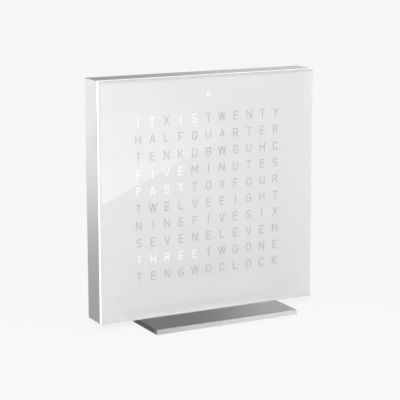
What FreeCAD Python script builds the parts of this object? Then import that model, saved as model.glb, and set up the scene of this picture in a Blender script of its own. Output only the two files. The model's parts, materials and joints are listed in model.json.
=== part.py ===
import FreeCAD, Part

import math
import os
import re

import Sketcher
from FreeCAD import Placement, Rotation, Vector

# A word clock for a desk. Millimetres, +Z up, and the lettered face looks along -Y.
# The origin is on the table, at the middle of the foot.
#
# From front to back: a clear cover with an opaque printed layer behind it, a metal case with a
# front lip, then a diffuser, a grid of light cells, the circuit board with its lamps in the cells,
# and a rear cover with four push buttons. The case stands on a flat foot.

doc = FreeCAD.newDocument("WordClock")

# Driving sizes: alias, value and what it measures
SIZES = [
    ("face_width", 135.0, "case and face, side to side"),
    ("face_height", 135.0, "case and face, bottom to top"),
    ("wall", 3.0, "side walls of the case"),
    ("edge_round", 0.4, "rounding on the case's four edges that run front to back"),
    ("edge_bevel", 0.25, "small bevels on the cover and the foot"),
    ("cover_thickness", 2.8, "clear front cover"),
    ("cover_margin", 0.15, "how far the cover stays inside the case's outline"),
    ("print_thickness", 0.2, "opaque layer on the cover's back"),
    ("lip_width", 1.5, "front lip inside the case walls"),
    ("lip_thickness", 1.0, "front lip, front to back"),
    ("diffuser_thickness", 0.5, "diffuser sheet, behind the lip"),
    ("field_gap", 0.1, "gap between the diffuser's raised middle and the cover's print"),
    ("grid_depth", 5.5, "light cells, front to back"),
    ("grid_wall", 0.9, "walls between light cells"),
    ("grid_rim", 1.5, "outer wall of the light grid"),
    ("apron_thickness", 1.2, "front plate of the light grid, outside the cells"),
    ("board_thickness", 1.6, "circuit board"),
    ("rear_cover_thickness", 1.5, "rear cover plate"),
    ("fit_gap", 0.3, "gap round the pieces that drop into the case"),
    ("cover_gap", 0.2, "gap round the rear cover"),
    ("part_room", 0.5, "free space behind the tallest component"),
    ("cut_spare", 1.0, "how far a cut runs on past the piece it goes through"),
    ("letter_pitch", 8.7, "letter to letter, along a row"),
    ("row_pitch", 9.65, "row to row"),
    ("letter_height", 4.9, "height of a letter"),
    ("letter_width", 3.3, "width of an ordinary letter"),
    ("letter_stroke", 0.5, "width of a letter's strokes"),
    ("dot_inset", 11.0, "corner dots and bell, in from the edges of the face"),
    ("dot_radius", 0.35, "corner dots"),
    ("bell_height", 3.6, "height of the alarm bell symbol"),
    ("bell_stroke", 0.42, "width of the line round the bell"),
    ("chamber_radius", 1.4, "bore of the light chamber behind each dot"),
    ("chamber_wall", 0.7, "wall of the light chambers"),
    ("bell_chamber_radius", 2.4, "bore of the light chamber behind the bell"),
    ("boss_size", 6.2, "square corner bosses of the case, in from its walls"),
    ("boss_setback", 1.7, "corner bosses behind the case's front"),
    ("magnet_radius", 2.0, "disc magnets"),
    ("magnet_length", 2.0, "magnets in the case"),
    ("cover_magnet_length", 1.5, "magnets on the cover"),
    ("pocket_gap", 0.05, "gap round a magnet in its pocket"),
    ("stud_inset", 3.72, "corner magnets, studs and screws, in from the inside of the walls"),
    ("stud_radius", 0.95, "standoff studs and rear cover screws"),
    ("stud_depth", 2.6, "standoff studs, into the corner bosses"),
    ("stud_root", 0.5, "standoff studs, on into the standoffs' own bodies"),
    ("thread_gap", 0.05, "gap between a screw and its threaded hole"),
    ("screw_room", 0.15, "gap between a screw and a plain hole"),
    ("standoff_flats", 4.0, "hexagon of the standoffs, across its flats"),
    ("screw_head_radius", 1.8, "rear cover screws"),
    ("screw_head_height", 0.85, "rear cover screws"),
    ("screw_length", 4.4, "rear cover screws, with the head"),
    ("drive_radius", 0.65, "hexagon sockets of the rear cover screws"),
    ("drive_depth", 0.6, "hexagon sockets of the rear cover screws"),
    ("led_length", 3.5, "lamps, along X"),
    ("led_height", 2.8, "lamps, along Z"),
    ("led_thickness", 1.2, "lamps, off the board"),
    ("lens_radius", 1.12, "lenses of the lamps"),
    ("lens_rise", 0.2, "lenses of the lamps, proud of their bases"),
    ("dot_led_length", 1.6, "small lamps behind the dots and the bell, along X"),
    ("dot_led_height", 0.9, "small lamps, along Z"),
    ("dot_led_thickness", 0.6, "small lamps, off the board"),
    ("dot_lens_radius", 0.36, "lenses of the small lamps"),
    ("lead_thickness", 0.3, "leads under the chips"),
    ("lead_reach", 1.0, "leads, out from the sides of the chips"),
    ("lead_inset", 0.5, "leads, in from the ends of the chips"),
    ("dimple_inset", 1.0, "dimple beside a chip's first lead, in from the chip's sides"),
    ("dimple_radius", 0.35, "dimple beside a chip's first lead"),
    ("dimple_depth", 0.15, "dimple beside a chip's first lead"),
    ("chip_length", 9.8, "lamp driver chips"),
    ("chip_width", 6.2, "lamp driver chips"),
    ("chip_thickness", 1.6, "lamp driver chips"),
    ("chip_across", 34.0, "driver chips, left and right of the middle"),
    ("chip_above", 22.0, "driver chips, above and below the middle"),
    ("processor_size", 10.0, "microcontroller"),
    ("processor_thickness", 1.4, "microcontroller"),
    ("crystal_length", 5.0, "quartz crystal"),
    ("crystal_width", 3.2, "quartz crystal"),
    ("crystal_thickness", 1.0, "quartz crystal"),
    ("crystal_base_thickness", 0.4, "ceramic base of the quartz crystal"),
    ("crystal_lid_inset", 0.3, "lid of the quartz crystal, in from the sides of its base"),
    ("capacitor_radius", 2.5, "smoothing capacitors"),
    ("capacitor_height", 4.4, "smoothing capacitors"),
    ("capacitor_base_margin", 0.1, "square bases of the capacitors, out past the cans"),
    ("capacitor_base_thickness", 0.5, "square bases of the capacitors"),
    ("capacitor_spacing", 8.0, "between smoothing capacitors"),
    ("capacitor_across", 32.0, "row of capacitors, right of the middle"),
    ("capacitor_drop", 40.0, "row of capacitors, below the middle"),
    ("battery_radius", 10.0, "coin cell"),
    ("battery_thickness", 3.2, "coin cell"),
    ("battery_step", 1.2, "narrow end of the coin cell, in from its rim"),
    ("battery_step_height", 0.6, "narrow end of the coin cell"),
    ("battery_gap", 0.2, "gap round the coin cell"),
    ("battery_across", -6.0, "coin cell, right of the middle"),
    ("battery_drop", 44.0, "coin cell, below the middle"),
    ("holder_wall", 1.2, "battery holder"),
    ("holder_floor", 0.6, "battery holder"),
    ("holder_height", 2.8, "battery holder, off the board"),
    ("finger_width", 10.0, "opening in the battery holder's wall for a finger"),
    ("sounder_radius", 7.0, "alarm sounder"),
    ("sounder_height", 4.0, "alarm sounder"),
    ("sounder_port", 1.2, "sound hole of the alarm sounder, radius"),
    ("sounder_port_depth", 1.6, "sound hole of the alarm sounder"),
    ("sounder_across", -40.0, "alarm sounder, right of the middle"),
    ("sounder_drop", 44.0, "alarm sounder, below the middle"),
    ("vent_radius", 0.7, "sound holes in the rear cover"),
    ("vent_spacing", 3.2, "sound holes, from the middle one to those round it"),
    ("switch_size", 6.0, "key switches"),
    ("switch_height", 2.8, "key switches, off the board"),
    ("switch_well", 1.2, "depth of the switch's well"),
    ("button_radius", 3.0, "button caps"),
    ("button_gap", 0.1, "gap between a button and its hole"),
    ("button_proud", 0.7, "button caps, behind the rear cover"),
    ("button_travel", 0.4, "how far a button goes in"),
    ("button_spacing", 13.0, "button to button"),
    ("flange_extra", 1.0, "button flange, wider than its cap"),
    ("flange_thickness", 0.8, "button flange"),
    ("nub_radius", 1.5, "nub that presses the switch"),
    ("nub_gap", 0.1, "gap between the nub and its well"),
    ("nub_rest", 0.05, "room left under the nub when the button is fully in"),
    ("button_round", 0.35, "rounding on the button caps"),
    ("button_drop", 24.0, "buttons, below the top of the case"),
    ("socket_length", 9.2, "power socket shell, along X"),
    ("socket_width", 3.4, "power socket shell, along Z"),
    ("socket_wall", 0.35, "power socket shell"),
    ("socket_setback", 0.2, "power socket mouth, inside the rear cover's outer face"),
    ("socket_gap", 0.3, "gap between the power socket and the rear cover"),
    ("socket_floor", 1.0, "solid end of the power socket, on the board"),
    ("tongue_length", 6.4, "contact tongue of the power socket"),
    ("tongue_thickness", 0.7, "contact tongue of the power socket"),
    ("tongue_setback", 0.6, "contact tongue, in from the power socket's mouth"),
    ("socket_rise", 14.0, "power socket, above the bottom of the case"),
    ("socket_across", 38.0, "power socket, right of the middle"),
    ("foot_width", 89.0, "foot, side to side"),
    ("foot_depth", 62.0, "foot, front to back"),
    ("foot_thickness", 3.0, "foot"),
    ("mat_inset", 3.0, "mat, in from the edges of the foot"),
    ("mat_thickness", 1.0, "mat"),
    ("mat_recess", 0.8, "how deep the mat sits in the foot"),
    ("mat_gap", 0.2, "gap round the mat in its recess"),
    ("mat_corner", 2.0, "rounding on the mat's corners"),
    ("foot_screw_across", 30.0, "foot screws, left and right of the middle"),
    ("foot_screw_radius", 1.45, "foot screws"),
    ("foot_head_radius", 2.8, "heads of the foot screws"),
    ("foot_head_height", 1.3, "heads of the foot screws"),
    ("foot_drive_radius", 1.0, "hexagon sockets of the foot screws"),
    ("foot_drive_depth", 0.9, "hexagon sockets of the foot screws"),
    ("foot_screw_spare", 0.3, "how far the foot screws stop short of the case's inside"),
]

# Places and sums worked out from the driving sizes
SUMS = {
    "case_depth": "lip_thickness + diffuser_thickness + grid_depth + board_thickness + rear_room"
    " + rear_cover_thickness",
    "tallest_part": "max(capacitor_height; max(sounder_height; holder_floor + battery_thickness))",
    "rear_room": "tallest_part + part_room",
    "whole_depth": "cover_thickness + print_thickness + case_depth",
    "cover_front": "-whole_depth / 2",
    "print_front": "cover_front + cover_thickness",
    "case_front": "print_front + print_thickness",
    "case_back": "case_front + case_depth",
    "case_middle": "(case_front + case_back) / 2",
    "lip_back": "case_front + lip_thickness",
    "grid_front": "lip_back + diffuser_thickness",
    "board_front": "grid_front + grid_depth",
    "board_back": "board_front + board_thickness",
    "rear_inside": "case_back - rear_cover_thickness",
    "foot_bottom": "mat_thickness - mat_recess",
    "foot_top": "foot_bottom + foot_thickness",
    "face_middle": "foot_top + face_height / 2",
    "inner_half_width": "face_width / 2 - wall",
    "inner_half_height": "face_height / 2 - wall",
    "dot_across": "face_width / 2 - dot_inset",
    "dot_above": "face_height / 2 - dot_inset",
    "boss_across": "inner_half_width - boss_size",
    "boss_above": "inner_half_height - boss_size",
    "stud_across": "inner_half_width - stud_inset",
    "stud_above": "inner_half_height - stud_inset",
    "boss_front": "case_front + boss_setback",
    "button_height": "face_middle + face_height / 2 - button_drop",
    "flange_radius": "button_radius + flange_extra",
    "well_floor": "board_back + switch_height - switch_well",
    "socket_height": "foot_top + socket_rise",
    "socket_mouth": "case_back - socket_setback",
    "mat_width": "foot_width - 2 * mat_inset",
    "mat_depth": "foot_depth - 2 * mat_inset",
    "foot_screw_top": "foot_top + wall - foot_screw_spare",
    "foot_ceiling": "foot_bottom + mat_recess",
}

COLUMNS = 11
ROWS = [
    "ITXISTWENTY",
    "HALFQUARTER",
    "TENKDBWGUHC",
    "FIVEMINUTES",
    "PASTTOXFOUR",
    "TWELVEEIGHT",
    "NINEFIVESIX",
    "SEVENELEVEN",
    "THREETWOONE",
    "TENGWOCLOCK",
]

sheet = doc.addObject("Spreadsheet::Sheet", "Sizes")
for line, (alias, value, meaning) in enumerate(SIZES, start=1):
    sheet.set(f"A{line}", meaning)
    sheet.set(f"B{line}", str(value))
    sheet.setAlias(f"B{line}", alias)
doc.recompute()

ALIASES = {alias for alias, value, meaning in SIZES}


def spell(words):
    """The expression for a sum of named sizes: each name becomes its cell or its own sum."""

    def swap(found):
        word = found.group(0)
        if word in SUMS:
            return "(" + spell(SUMS[word]) + ")"
        if word in ALIASES:
            return "Sizes." + word
        return word

    return re.sub(r"[a-z][a-z_]*", swap, str(words))


def number(words):
    """The value of a sum of named sizes, in millimetres."""
    return float(sheet.evalExpression(spell(words)))


def bind(item, **sums):
    for name, words in sums.items():
        item.setExpression(name, spell(words))
    return item


def place(item, x, y, z, turn=None):
    """Puts an item at a place given by three sums, turned about its own origin."""
    if turn is not None:
        item.Placement = Placement(Vector(), turn)
    item.setExpression("Placement.Base.x", spell(x))
    item.setExpression("Placement.Base.y", spell(y))
    item.setExpression("Placement.Base.z", spell(z))
    return item


# Turns for pieces drawn flat: FACING puts a drawing's top side towards the front of the clock,
# and BACKWARD puts it towards the back
FACING = Rotation(Vector(1, 0, 0), 90)
BACKWARD = Rotation(Vector(1, 0, 0), -90)


def block(name, x, y, z, length, width, height):
    """A box from its lowest corner."""
    box = bind(doc.addObject("Part::Box", name), Length=length, Width=width, Height=height)
    return place(box, x, y, z)


def middle_block(name, x, y, z, length, width, height):
    """A box that is centred on x and z, and starts at y."""
    return block(name, f"{x} - ({length}) / 2", y, f"{z} - ({height}) / 2", length, width, height)


def rod(name, x, y, z, radius, length, turn=BACKWARD):
    """A round bar that starts at a place and runs backward, or upward with no turn."""
    bar = bind(doc.addObject("Part::Cylinder", name), Radius=radius, Height=length)
    return place(bar, x, y, z, turn)


def hexagon(name, x, y, z, radius, length, turn=BACKWARD):
    """A six-sided bar, given by the radius to its corners."""
    prism = doc.addObject("Part::Prism", name)
    prism.Polygon = 6
    bind(prism, Circumradius=radius, Height=length)
    return place(prism, x, y, z, turn)


def joined(name, *items, refine=True):
    fuse = doc.addObject("Part::MultiFuse", name)
    fuse.Shapes = list(items)
    fuse.Refine = refine
    return fuse


def cut(name, base, *tools):
    whole = tools[0] if len(tools) == 1 else joined(name + "_tools", *tools)
    piece = doc.addObject("Part::Cut", name)
    piece.Base = base
    piece.Tool = whole
    piece.Refine = True
    return piece


def group(name, items):
    """Separate solids that share one node."""
    whole = doc.addObject("Part::Compound", name)
    whole.Links = list(items)
    return whole


def copy_at(seed, x, z):
    """The same piece again, moved along X and Z."""
    link = doc.addObject("App::Link", seed.Name + "_copy")
    link.LinkedObject = seed
    link.LinkTransform = True
    link.setExpression("Placement.Base.x", spell(x))
    link.setExpression("Placement.Base.z", spell(z))
    return link


def new_body(name, x, y, z, turn):
    return place(doc.addObject("PartDesign::Body", name), x, y, z, turn)


def new_sketch(body, name, height="0"):
    """A sketch on the body's own XY plane, raised by a sum."""
    sketch = body.newObject("Sketcher::SketchObject", name)
    plane = [item for item in body.Origin.OriginFeatures if item.Role == "XY_Plane"][0]
    sketch.AttachmentSupport = [(plane, "")]
    sketch.MapMode = "FlatFace"
    sketch.setExpression("AttachmentOffset.Base.z", spell(height))
    return sketch


def hold(sketch, constraint, words):
    """Adds a dimension to a sketch and binds it to a sum."""
    index = sketch.addConstraint(constraint)
    sketch.setExpression(f"Constraints[{index}]", spell(words))


def draw_rectangle(sketch, width, height, x="0", y="0"):
    """A rectangle centred on a place in the sketch."""
    left = f"({x}) - ({width}) / 2"
    bottom = f"({y}) - ({height}) / 2"
    corner = Vector(number(left), number(bottom), 0)
    along = Vector(number(width), 0, 0)
    up = Vector(0, number(height), 0)
    corners = [corner, corner + along, corner + along + up, corner + up]
    first = sketch.GeometryCount
    for index in range(4):
        sketch.addGeometry(Part.LineSegment(corners[index], corners[(index + 1) % 4]), False)
    for index in range(4):
        after = first + (index + 1) % 4
        sketch.addConstraint(Sketcher.Constraint("Coincident", first + index, 2, after, 1))
    for index in (0, 2):
        sketch.addConstraint(Sketcher.Constraint("Horizontal", first + index))
        sketch.addConstraint(Sketcher.Constraint("Vertical", first + index + 1))
    hold(sketch, Sketcher.Constraint("DistanceX", first, 1, first, 2, along.x), width)
    hold(sketch, Sketcher.Constraint("DistanceY", first + 1, 1, first + 1, 2, up.y), height)
    hold(sketch, Sketcher.Constraint("DistanceX", -1, 1, first, 1, corner.x), left)
    hold(sketch, Sketcher.Constraint("DistanceY", -1, 1, first, 1, corner.y), bottom)


def draw_circle(sketch, radius, x="0", y="0"):
    """A circle round a place in the sketch."""
    middle = Vector(number(x), number(y), 0)
    index = sketch.addGeometry(Part.Circle(middle, Vector(0, 0, 1), number(radius)), False)
    hold(sketch, Sketcher.Constraint("Radius", index, number(radius)), radius)
    hold(sketch, Sketcher.Constraint("DistanceX", -1, 1, index, 3, middle.x), x)
    hold(sketch, Sketcher.Constraint("DistanceY", -1, 1, index, 3, middle.y), y)


def pad(body, sketch, length, downward=False):
    feature = bind(body.newObject("PartDesign::Pad", sketch.Name + "_pad"), Length=length)
    feature.Profile = sketch
    feature.Reversed = downward
    return feature


def pocket(body, sketch, depth, upward=False):
    """Cuts a sketch down into the body, or upward from under it."""
    feature = bind(body.newObject("PartDesign::Pocket", sketch.Name + "_cut"), Length=depth)
    feature.Profile = sketch
    feature.Reversed = upward
    return feature


def edges_where(shape, test):
    """The names of the straight edges whose two ends pass a test."""
    names = []
    for index, edge in enumerate(shape.Edges, start=1):
        if isinstance(edge.Curve, Part.Line):
            if test(edge.Vertexes[0].Point, edge.Vertexes[1].Point):
                names.append(f"Edge{index}")
    return names


# Front cover: a clear slab with a small polished bevel round its front edges

front_cover = new_body("front_cover", "0", "print_front", "face_middle", FACING)
cover_outline = new_sketch(front_cover, "cover_outline")
draw_rectangle(cover_outline, "face_width - 2 * cover_margin", "face_height - 2 * cover_margin")
cover_slab = pad(front_cover, cover_outline, "cover_thickness")
doc.recompute()
cover_face = number("cover_thickness")
front_edges = edges_where(
    cover_slab.Shape, lambda start, end: min(start.z, end.z) > cover_face / 2
)
cover_bevel = front_cover.newObject("PartDesign::Chamfer", "cover_bevel")
cover_bevel.Base = (cover_slab, front_edges)
bind(cover_bevel, Size="edge_bevel")


# Letter mask: the opaque layer on the cover's back, open at every letter

class Pen:
    """Draws the strokes of one letter as flat faces, in millimetres from its lower left corner."""

    def __init__(self, width, height, stroke):
        self.half = stroke / 2
        self.width = width
        self.height = height
        self.left = self.half
        self.right = width - self.half
        self.middle = width / 2
        self.bottom = self.half
        self.top = height - self.half
        self.waist = height / 2
        self.round = (self.right - self.left) / 2
        self.faces = []

    def fill(self, points):
        """A straight-sided face that looks up, whichever way round its corners are listed."""
        corners = [Vector(x, y, 0) for x, y in points]
        face = Part.Face(Part.makePolygon(corners + corners[:1]))
        if face.normalAt(0, 0).z < 0:
            face = Part.Face(face.OuterWire.reversed())
        self.faces.append(face)

    def bar(self, x0, y0, x1, y1):
        """An upright or level stroke with square ends."""
        low_x, high_x = min(x0, x1) - self.half, max(x0, x1) + self.half
        low_y, high_y = min(y0, y1) - self.half, max(y0, y1) + self.half
        self.fill([(low_x, low_y), (high_x, low_y), (high_x, high_y), (low_x, high_y)])

    def slant(self, x0, y0, x1, y1):
        """A sloping stroke whose ends are level."""
        reach = self.half * math.hypot(x1 - x0, y1 - y0) / abs(y1 - y0)
        self.fill([(x0 - reach, y0), (x0 + reach, y0), (x1 + reach, y1), (x1 - reach, y1)])

    def bow(self, x, y, radius, start, end):
        """A round stroke between two angles in degrees."""
        outer = radius + self.half
        inner = radius - self.half
        angles = [math.radians(start), math.radians((start + end) / 2), math.radians(end)]
        out = [Vector(x + outer * math.cos(a), y + outer * math.sin(a), 0) for a in angles]
        back = [Vector(x + inner * math.cos(a), y + inner * math.sin(a), 0) for a in angles]
        edges = [
            Part.Arc(*out).toShape(),
            Part.LineSegment(out[2], back[2]).toShape(),
            Part.Arc(back[2], back[1], back[0]).toShape(),
            Part.LineSegment(back[0], out[0]).toShape(),
        ]
        self.faces.append(Part.Face(Part.Wire(edges)))


def lean(pen, across, tall):
    """How far in from a letter's side a sloping stroke starts, so that it stays in the letter."""
    return pen.half * math.hypot(across, tall) / tall


def letter_a(pen):
    foot = lean(pen, pen.middle, pen.height)
    rail = pen.height * 0.28
    inside = (pen.middle - foot) * (1 - rail / pen.height)
    pen.slant(foot, 0, pen.middle, pen.height)
    pen.slant(pen.width - foot, 0, pen.middle, pen.height)
    pen.fill(
        [
            (pen.middle - inside, rail - pen.half),
            (pen.middle + inside, rail - pen.half),
            (pen.middle + inside, rail + pen.half),
            (pen.middle - inside, rail + pen.half),
        ]
    )


def letter_b(pen):
    upper = (pen.top - pen.waist) / 2
    lower = (pen.waist - pen.bottom) / 2
    pen.bar(pen.left, pen.bottom, pen.left, pen.top)
    for level, bowl in ((pen.bottom, lower), (pen.waist, lower), (pen.top, upper)):
        pen.bar(pen.left, level, pen.right - bowl - pen.half, level)
    pen.bow(pen.right - upper, pen.waist + upper, upper, -90, 90)
    pen.bow(pen.right - lower, pen.bottom + lower, lower, -90, 90)


def letter_c(pen):
    pen.bar(pen.left, pen.bottom + pen.round, pen.left, pen.top - pen.round)
    pen.bow(pen.middle, pen.top - pen.round, pen.round, 12, 180)
    pen.bow(pen.middle, pen.bottom + pen.round, pen.round, 180, 348)


def letter_d(pen):
    corner = pen.round * 0.9
    pen.bar(pen.left, pen.bottom, pen.left, pen.top)
    pen.bar(pen.left, pen.top, pen.right - corner - pen.half, pen.top)
    pen.bar(pen.left, pen.bottom, pen.right - corner - pen.half, pen.bottom)
    pen.bar(pen.right, pen.bottom + corner + pen.half, pen.right, pen.top - corner - pen.half)
    pen.bow(pen.right - corner, pen.top - corner, corner, 0, 90)
    pen.bow(pen.right - corner, pen.bottom + corner, corner, -90, 0)


def letter_e(pen):
    pen.bar(pen.left, pen.bottom, pen.right, pen.bottom)
    letter_f(pen)


def letter_f(pen):
    pen.bar(pen.left, pen.bottom, pen.left, pen.top)
    pen.bar(pen.left, pen.top, pen.right, pen.top)
    pen.bar(pen.left, pen.waist, pen.right - pen.half, pen.waist)


def letter_g(pen):
    letter_c(pen)
    pen.bow(pen.middle, pen.bottom + pen.round, pen.round, 340, 360)
    pen.bar(pen.right, pen.bottom + pen.round + pen.half, pen.right, pen.waist - pen.half)
    pen.bar(pen.middle + pen.half, pen.waist - pen.half, pen.right, pen.waist - pen.half)


def letter_h(pen):
    pen.bar(pen.left, pen.bottom, pen.left, pen.top)
    pen.bar(pen.right, pen.bottom, pen.right, pen.top)
    pen.bar(pen.left, pen.waist, pen.right, pen.waist)


def letter_i(pen):
    pen.bar(pen.middle, pen.bottom, pen.middle, pen.top)


def letter_k(pen):
    tall = pen.height * 0.66
    arm = lean(pen, pen.width, tall)
    root = pen.left + pen.half
    branch = pen.height * 0.5
    branch_x = root + (pen.width - arm - root) * (branch - pen.height + tall) / tall
    pen.bar(pen.left, pen.bottom, pen.left, pen.top)
    pen.slant(pen.width - arm, pen.height, root, pen.height - tall)
    pen.slant(pen.width - arm, 0, branch_x, branch)


def letter_l(pen):
    pen.bar(pen.left, pen.bottom, pen.left, pen.top)
    pen.bar(pen.left, pen.bottom, pen.right, pen.bottom)


def letter_m(pen):
    dip = pen.height * 0.32
    side = lean(pen, pen.middle, pen.height - dip)
    pen.bar(pen.left, pen.bottom, pen.left, pen.top)
    pen.bar(pen.right, pen.bottom, pen.right, pen.top)
    pen.slant(pen.middle, dip, side, pen.height)
    pen.slant(pen.middle, dip, pen.width - side, pen.height)


def letter_n(pen):
    side = lean(pen, pen.width, pen.height)
    pen.bar(pen.left, pen.bottom, pen.left, pen.top)
    pen.bar(pen.right, pen.bottom, pen.right, pen.top)
    pen.slant(pen.width - side, 0, side, pen.height)


def letter_o(pen):
    pen.bar(pen.left, pen.bottom + pen.round, pen.left, pen.top - pen.round)
    pen.bar(pen.right, pen.bottom + pen.round, pen.right, pen.top - pen.round)
    pen.bow(pen.middle, pen.top - pen.round, pen.round, 0, 180)
    pen.bow(pen.middle, pen.bottom + pen.round, pen.round, 180, 360)


def letter_p(pen):
    bowl = (pen.top - pen.waist) / 2
    pen.bar(pen.left, pen.bottom, pen.left, pen.top)
    pen.bar(pen.left, pen.top, pen.right - bowl - pen.half, pen.top)
    pen.bar(pen.left, pen.waist, pen.right - bowl - pen.half, pen.waist)
    pen.bow(pen.right - bowl, pen.waist + bowl, bowl, -90, 90)


def letter_q(pen):
    letter_o(pen)
    pen.slant(pen.width - pen.half, 0, pen.middle + pen.half, pen.height * 0.26)


def letter_r(pen):
    letter_p(pen)
    leg = lean(pen, pen.width - pen.middle, pen.waist)
    pen.slant(pen.width - leg, 0, pen.middle, pen.waist)


def letter_s(pen):
    upper = (pen.top - pen.waist) / 2
    lower = (pen.waist - pen.bottom) / 2
    pen.bar(pen.left + upper + pen.half, pen.top, pen.right - upper - pen.half, pen.top)
    pen.bar(pen.left + upper + pen.half, pen.waist, pen.right - lower - pen.half, pen.waist)
    pen.bar(pen.left + lower + pen.half, pen.bottom, pen.right - lower - pen.half, pen.bottom)
    pen.bow(pen.right - upper, pen.top - upper, upper, 15, 90)
    pen.bow(pen.left + upper, pen.top - upper, upper, 90, 270)
    pen.bow(pen.right - lower, pen.bottom + lower, lower, -90, 90)
    pen.bow(pen.left + lower, pen.bottom + lower, lower, 195, 270)


def letter_t(pen):
    pen.bar(pen.left, pen.top, pen.right, pen.top)
    pen.bar(pen.middle, pen.bottom, pen.middle, pen.top)


def letter_u(pen):
    pen.bar(pen.left, pen.bottom + pen.round + pen.half, pen.left, pen.top)
    pen.bar(pen.right, pen.bottom + pen.round + pen.half, pen.right, pen.top)
    pen.bow(pen.middle, pen.bottom + pen.round, pen.round, 180, 360)


def letter_v(pen):
    side = lean(pen, pen.middle, pen.height)
    pen.slant(pen.middle, 0, side, pen.height)
    pen.slant(pen.middle, 0, pen.width - side, pen.height)


def letter_w(pen):
    side = lean(pen, pen.width / 4, pen.height)
    quarter = (pen.middle - side) / 2
    for hand in (-1, 1):
        valley = pen.middle + hand * quarter
        pen.slant(valley, 0, pen.middle + hand * 2 * quarter, pen.height)
        pen.slant(valley, 0, pen.middle, pen.height)


def letter_x(pen):
    side = lean(pen, pen.width, pen.height)
    pen.slant(side, 0, pen.width - side, pen.height)
    pen.slant(pen.width - side, 0, side, pen.height)


def letter_y(pen):
    fork = pen.height * 0.44
    side = lean(pen, pen.middle, pen.height - fork)
    pen.slant(pen.middle, fork, side, pen.height)
    pen.slant(pen.middle, fork, pen.width - side, pen.height)
    pen.bar(pen.middle, pen.bottom, pen.middle, fork)


LETTERS = {
    "A": (letter_a, 1.12),
    "B": (letter_b, 1.0),
    "C": (letter_c, 1.0),
    "D": (letter_d, 1.0),
    "E": (letter_e, 0.88),
    "F": (letter_f, 0.88),
    "G": (letter_g, 1.0),
    "H": (letter_h, 1.02),
    "I": (letter_i, 0.5),
    "K": (letter_k, 1.0),
    "L": (letter_l, 0.85),
    "M": (letter_m, 1.24),
    "N": (letter_n, 1.04),
    "O": (letter_o, 1.0),
    "P": (letter_p, 0.96),
    "Q": (letter_q, 1.0),
    "R": (letter_r, 1.0),
    "S": (letter_s, 0.96),
    "T": (letter_t, 0.98),
    "U": (letter_u, 1.0),
    "V": (letter_v, 1.12),
    "W": (letter_w, 1.5),
    "X": (letter_x, 1.08),
    "Y": (letter_y, 1.08),
}


def outlines(pen):
    """The wires round a drawn shape, centred on its own middle."""
    face = pen.faces[0]
    if len(pen.faces) > 1:
        face = face.fuse(pen.faces[1:]).removeSplitter()
    face.translate(Vector(-pen.width / 2, -pen.height / 2, 0))
    return Part.makeCompound(face.Wires)


def bell_pen():
    """A small alarm bell in outline: a dome on a flared skirt, with its clapper under it. Its
    heart stays as a loose piece of the layer."""
    height = number("bell_height")
    pen = Pen(height * 0.8, height, height * 0.1)
    dome = height * 0.26
    shoulder = height * 0.68
    brim = height * 0.26
    flare = height * 0.42
    right = [
        Vector(0, brim, 0),
        Vector(pen.width, brim, 0),
        Vector(pen.middle + dome, flare, 0),
        Vector(pen.middle + dome, shoulder, 0),
    ]
    left = [Vector(pen.middle - dome, shoulder, 0), Vector(pen.middle - dome, flare, 0), right[0]]
    crown = Part.Arc(right[-1], Vector(pen.middle, shoulder + dome, 0), left[0]).toShape()
    skirt = Part.makePolygon(right).Edges + [crown] + Part.makePolygon(left).Edges
    clapper = Part.makeCircle(height * 0.1, Vector(pen.middle, height * 0.1, 0))
    inner = dome - number("bell_stroke")
    floor = brim + number("bell_stroke")
    sides = [
        Vector(pen.middle - inner, shoulder, 0),
        Vector(pen.middle - inner, floor, 0),
        Vector(pen.middle + inner, floor, 0),
        Vector(pen.middle + inner, shoulder, 0),
    ]
    vault = Part.Arc(sides[-1], Vector(pen.middle, shoulder + inner, 0), sides[0]).toShape()
    heart = Part.Face(Part.Wire(Part.makePolygon(sides).Edges + [vault]))
    pen.faces = [Part.Face(Part.Wire(skirt)).cut(heart), Part.Face(Part.Wire(clapper))]
    return pen


def letter_places():
    """Each letter of the face with its place from the middle of the face."""
    across = number("letter_pitch")
    down = number("row_pitch")
    for line, word in enumerate(ROWS):
        for column, letter in enumerate(word):
            x = (column - (COLUMNS - 1) / 2) * across
            z = ((len(ROWS) - 1) / 2 - line) * down
            yield letter, x, z


CORNERS = [(-1, -1), (1, -1), (-1, 1), (1, 1)]


def mask_shape():
    """The layer as one face with all its openings, given its thickness. The centres of closed
    letters stay as loose pieces of the layer."""
    long = number("face_width - 2 * cover_margin")
    tall = number("face_height - 2 * cover_margin")
    corners = [Vector(side * long / 2, rise * tall / 2, 0) for side, rise in CORNERS]
    rounds = [corners[0], corners[1], corners[3], corners[2], corners[0]]
    wires = [Part.makePolygon(rounds)]
    seeds = {}
    for letter, (draw, share) in LETTERS.items():
        pen = Pen(number("letter_width") * share, number("letter_height"), number("letter_stroke"))
        draw(pen)
        seeds[letter] = outlines(pen)
    for letter, x, z in letter_places():
        wires += seeds[letter].translated(Vector(x, z, 0)).Wires
    for side, rise in CORNERS:
        middle = Vector(side * number("dot_across"), rise * number("dot_above"), 0)
        wires.append(Part.Wire(Part.makeCircle(number("dot_radius"), middle)))
    wires += outlines(bell_pen()).translated(Vector(0, number("dot_above"), 0)).Wires
    layer = Part.makeFace(wires, "Part::FaceMakerBullseye")
    return layer.extrude(Vector(0, 0, number("print_thickness")))


letter_mask = doc.addObject("Part::Feature", "letter_mask")
letter_mask.Shape = mask_shape()
place(letter_mask, "0", "case_front", "face_middle", FACING)


# Magnets: four discs on the back of the cover's mask, and four in the case's corner bosses

def at_studs(seed):
    """Copies of a piece on the four corner axes of the case."""
    return [copy_at(seed, f"{side} * stud_across", f"{rise} * stud_above") for side, rise in CORNERS]


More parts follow.
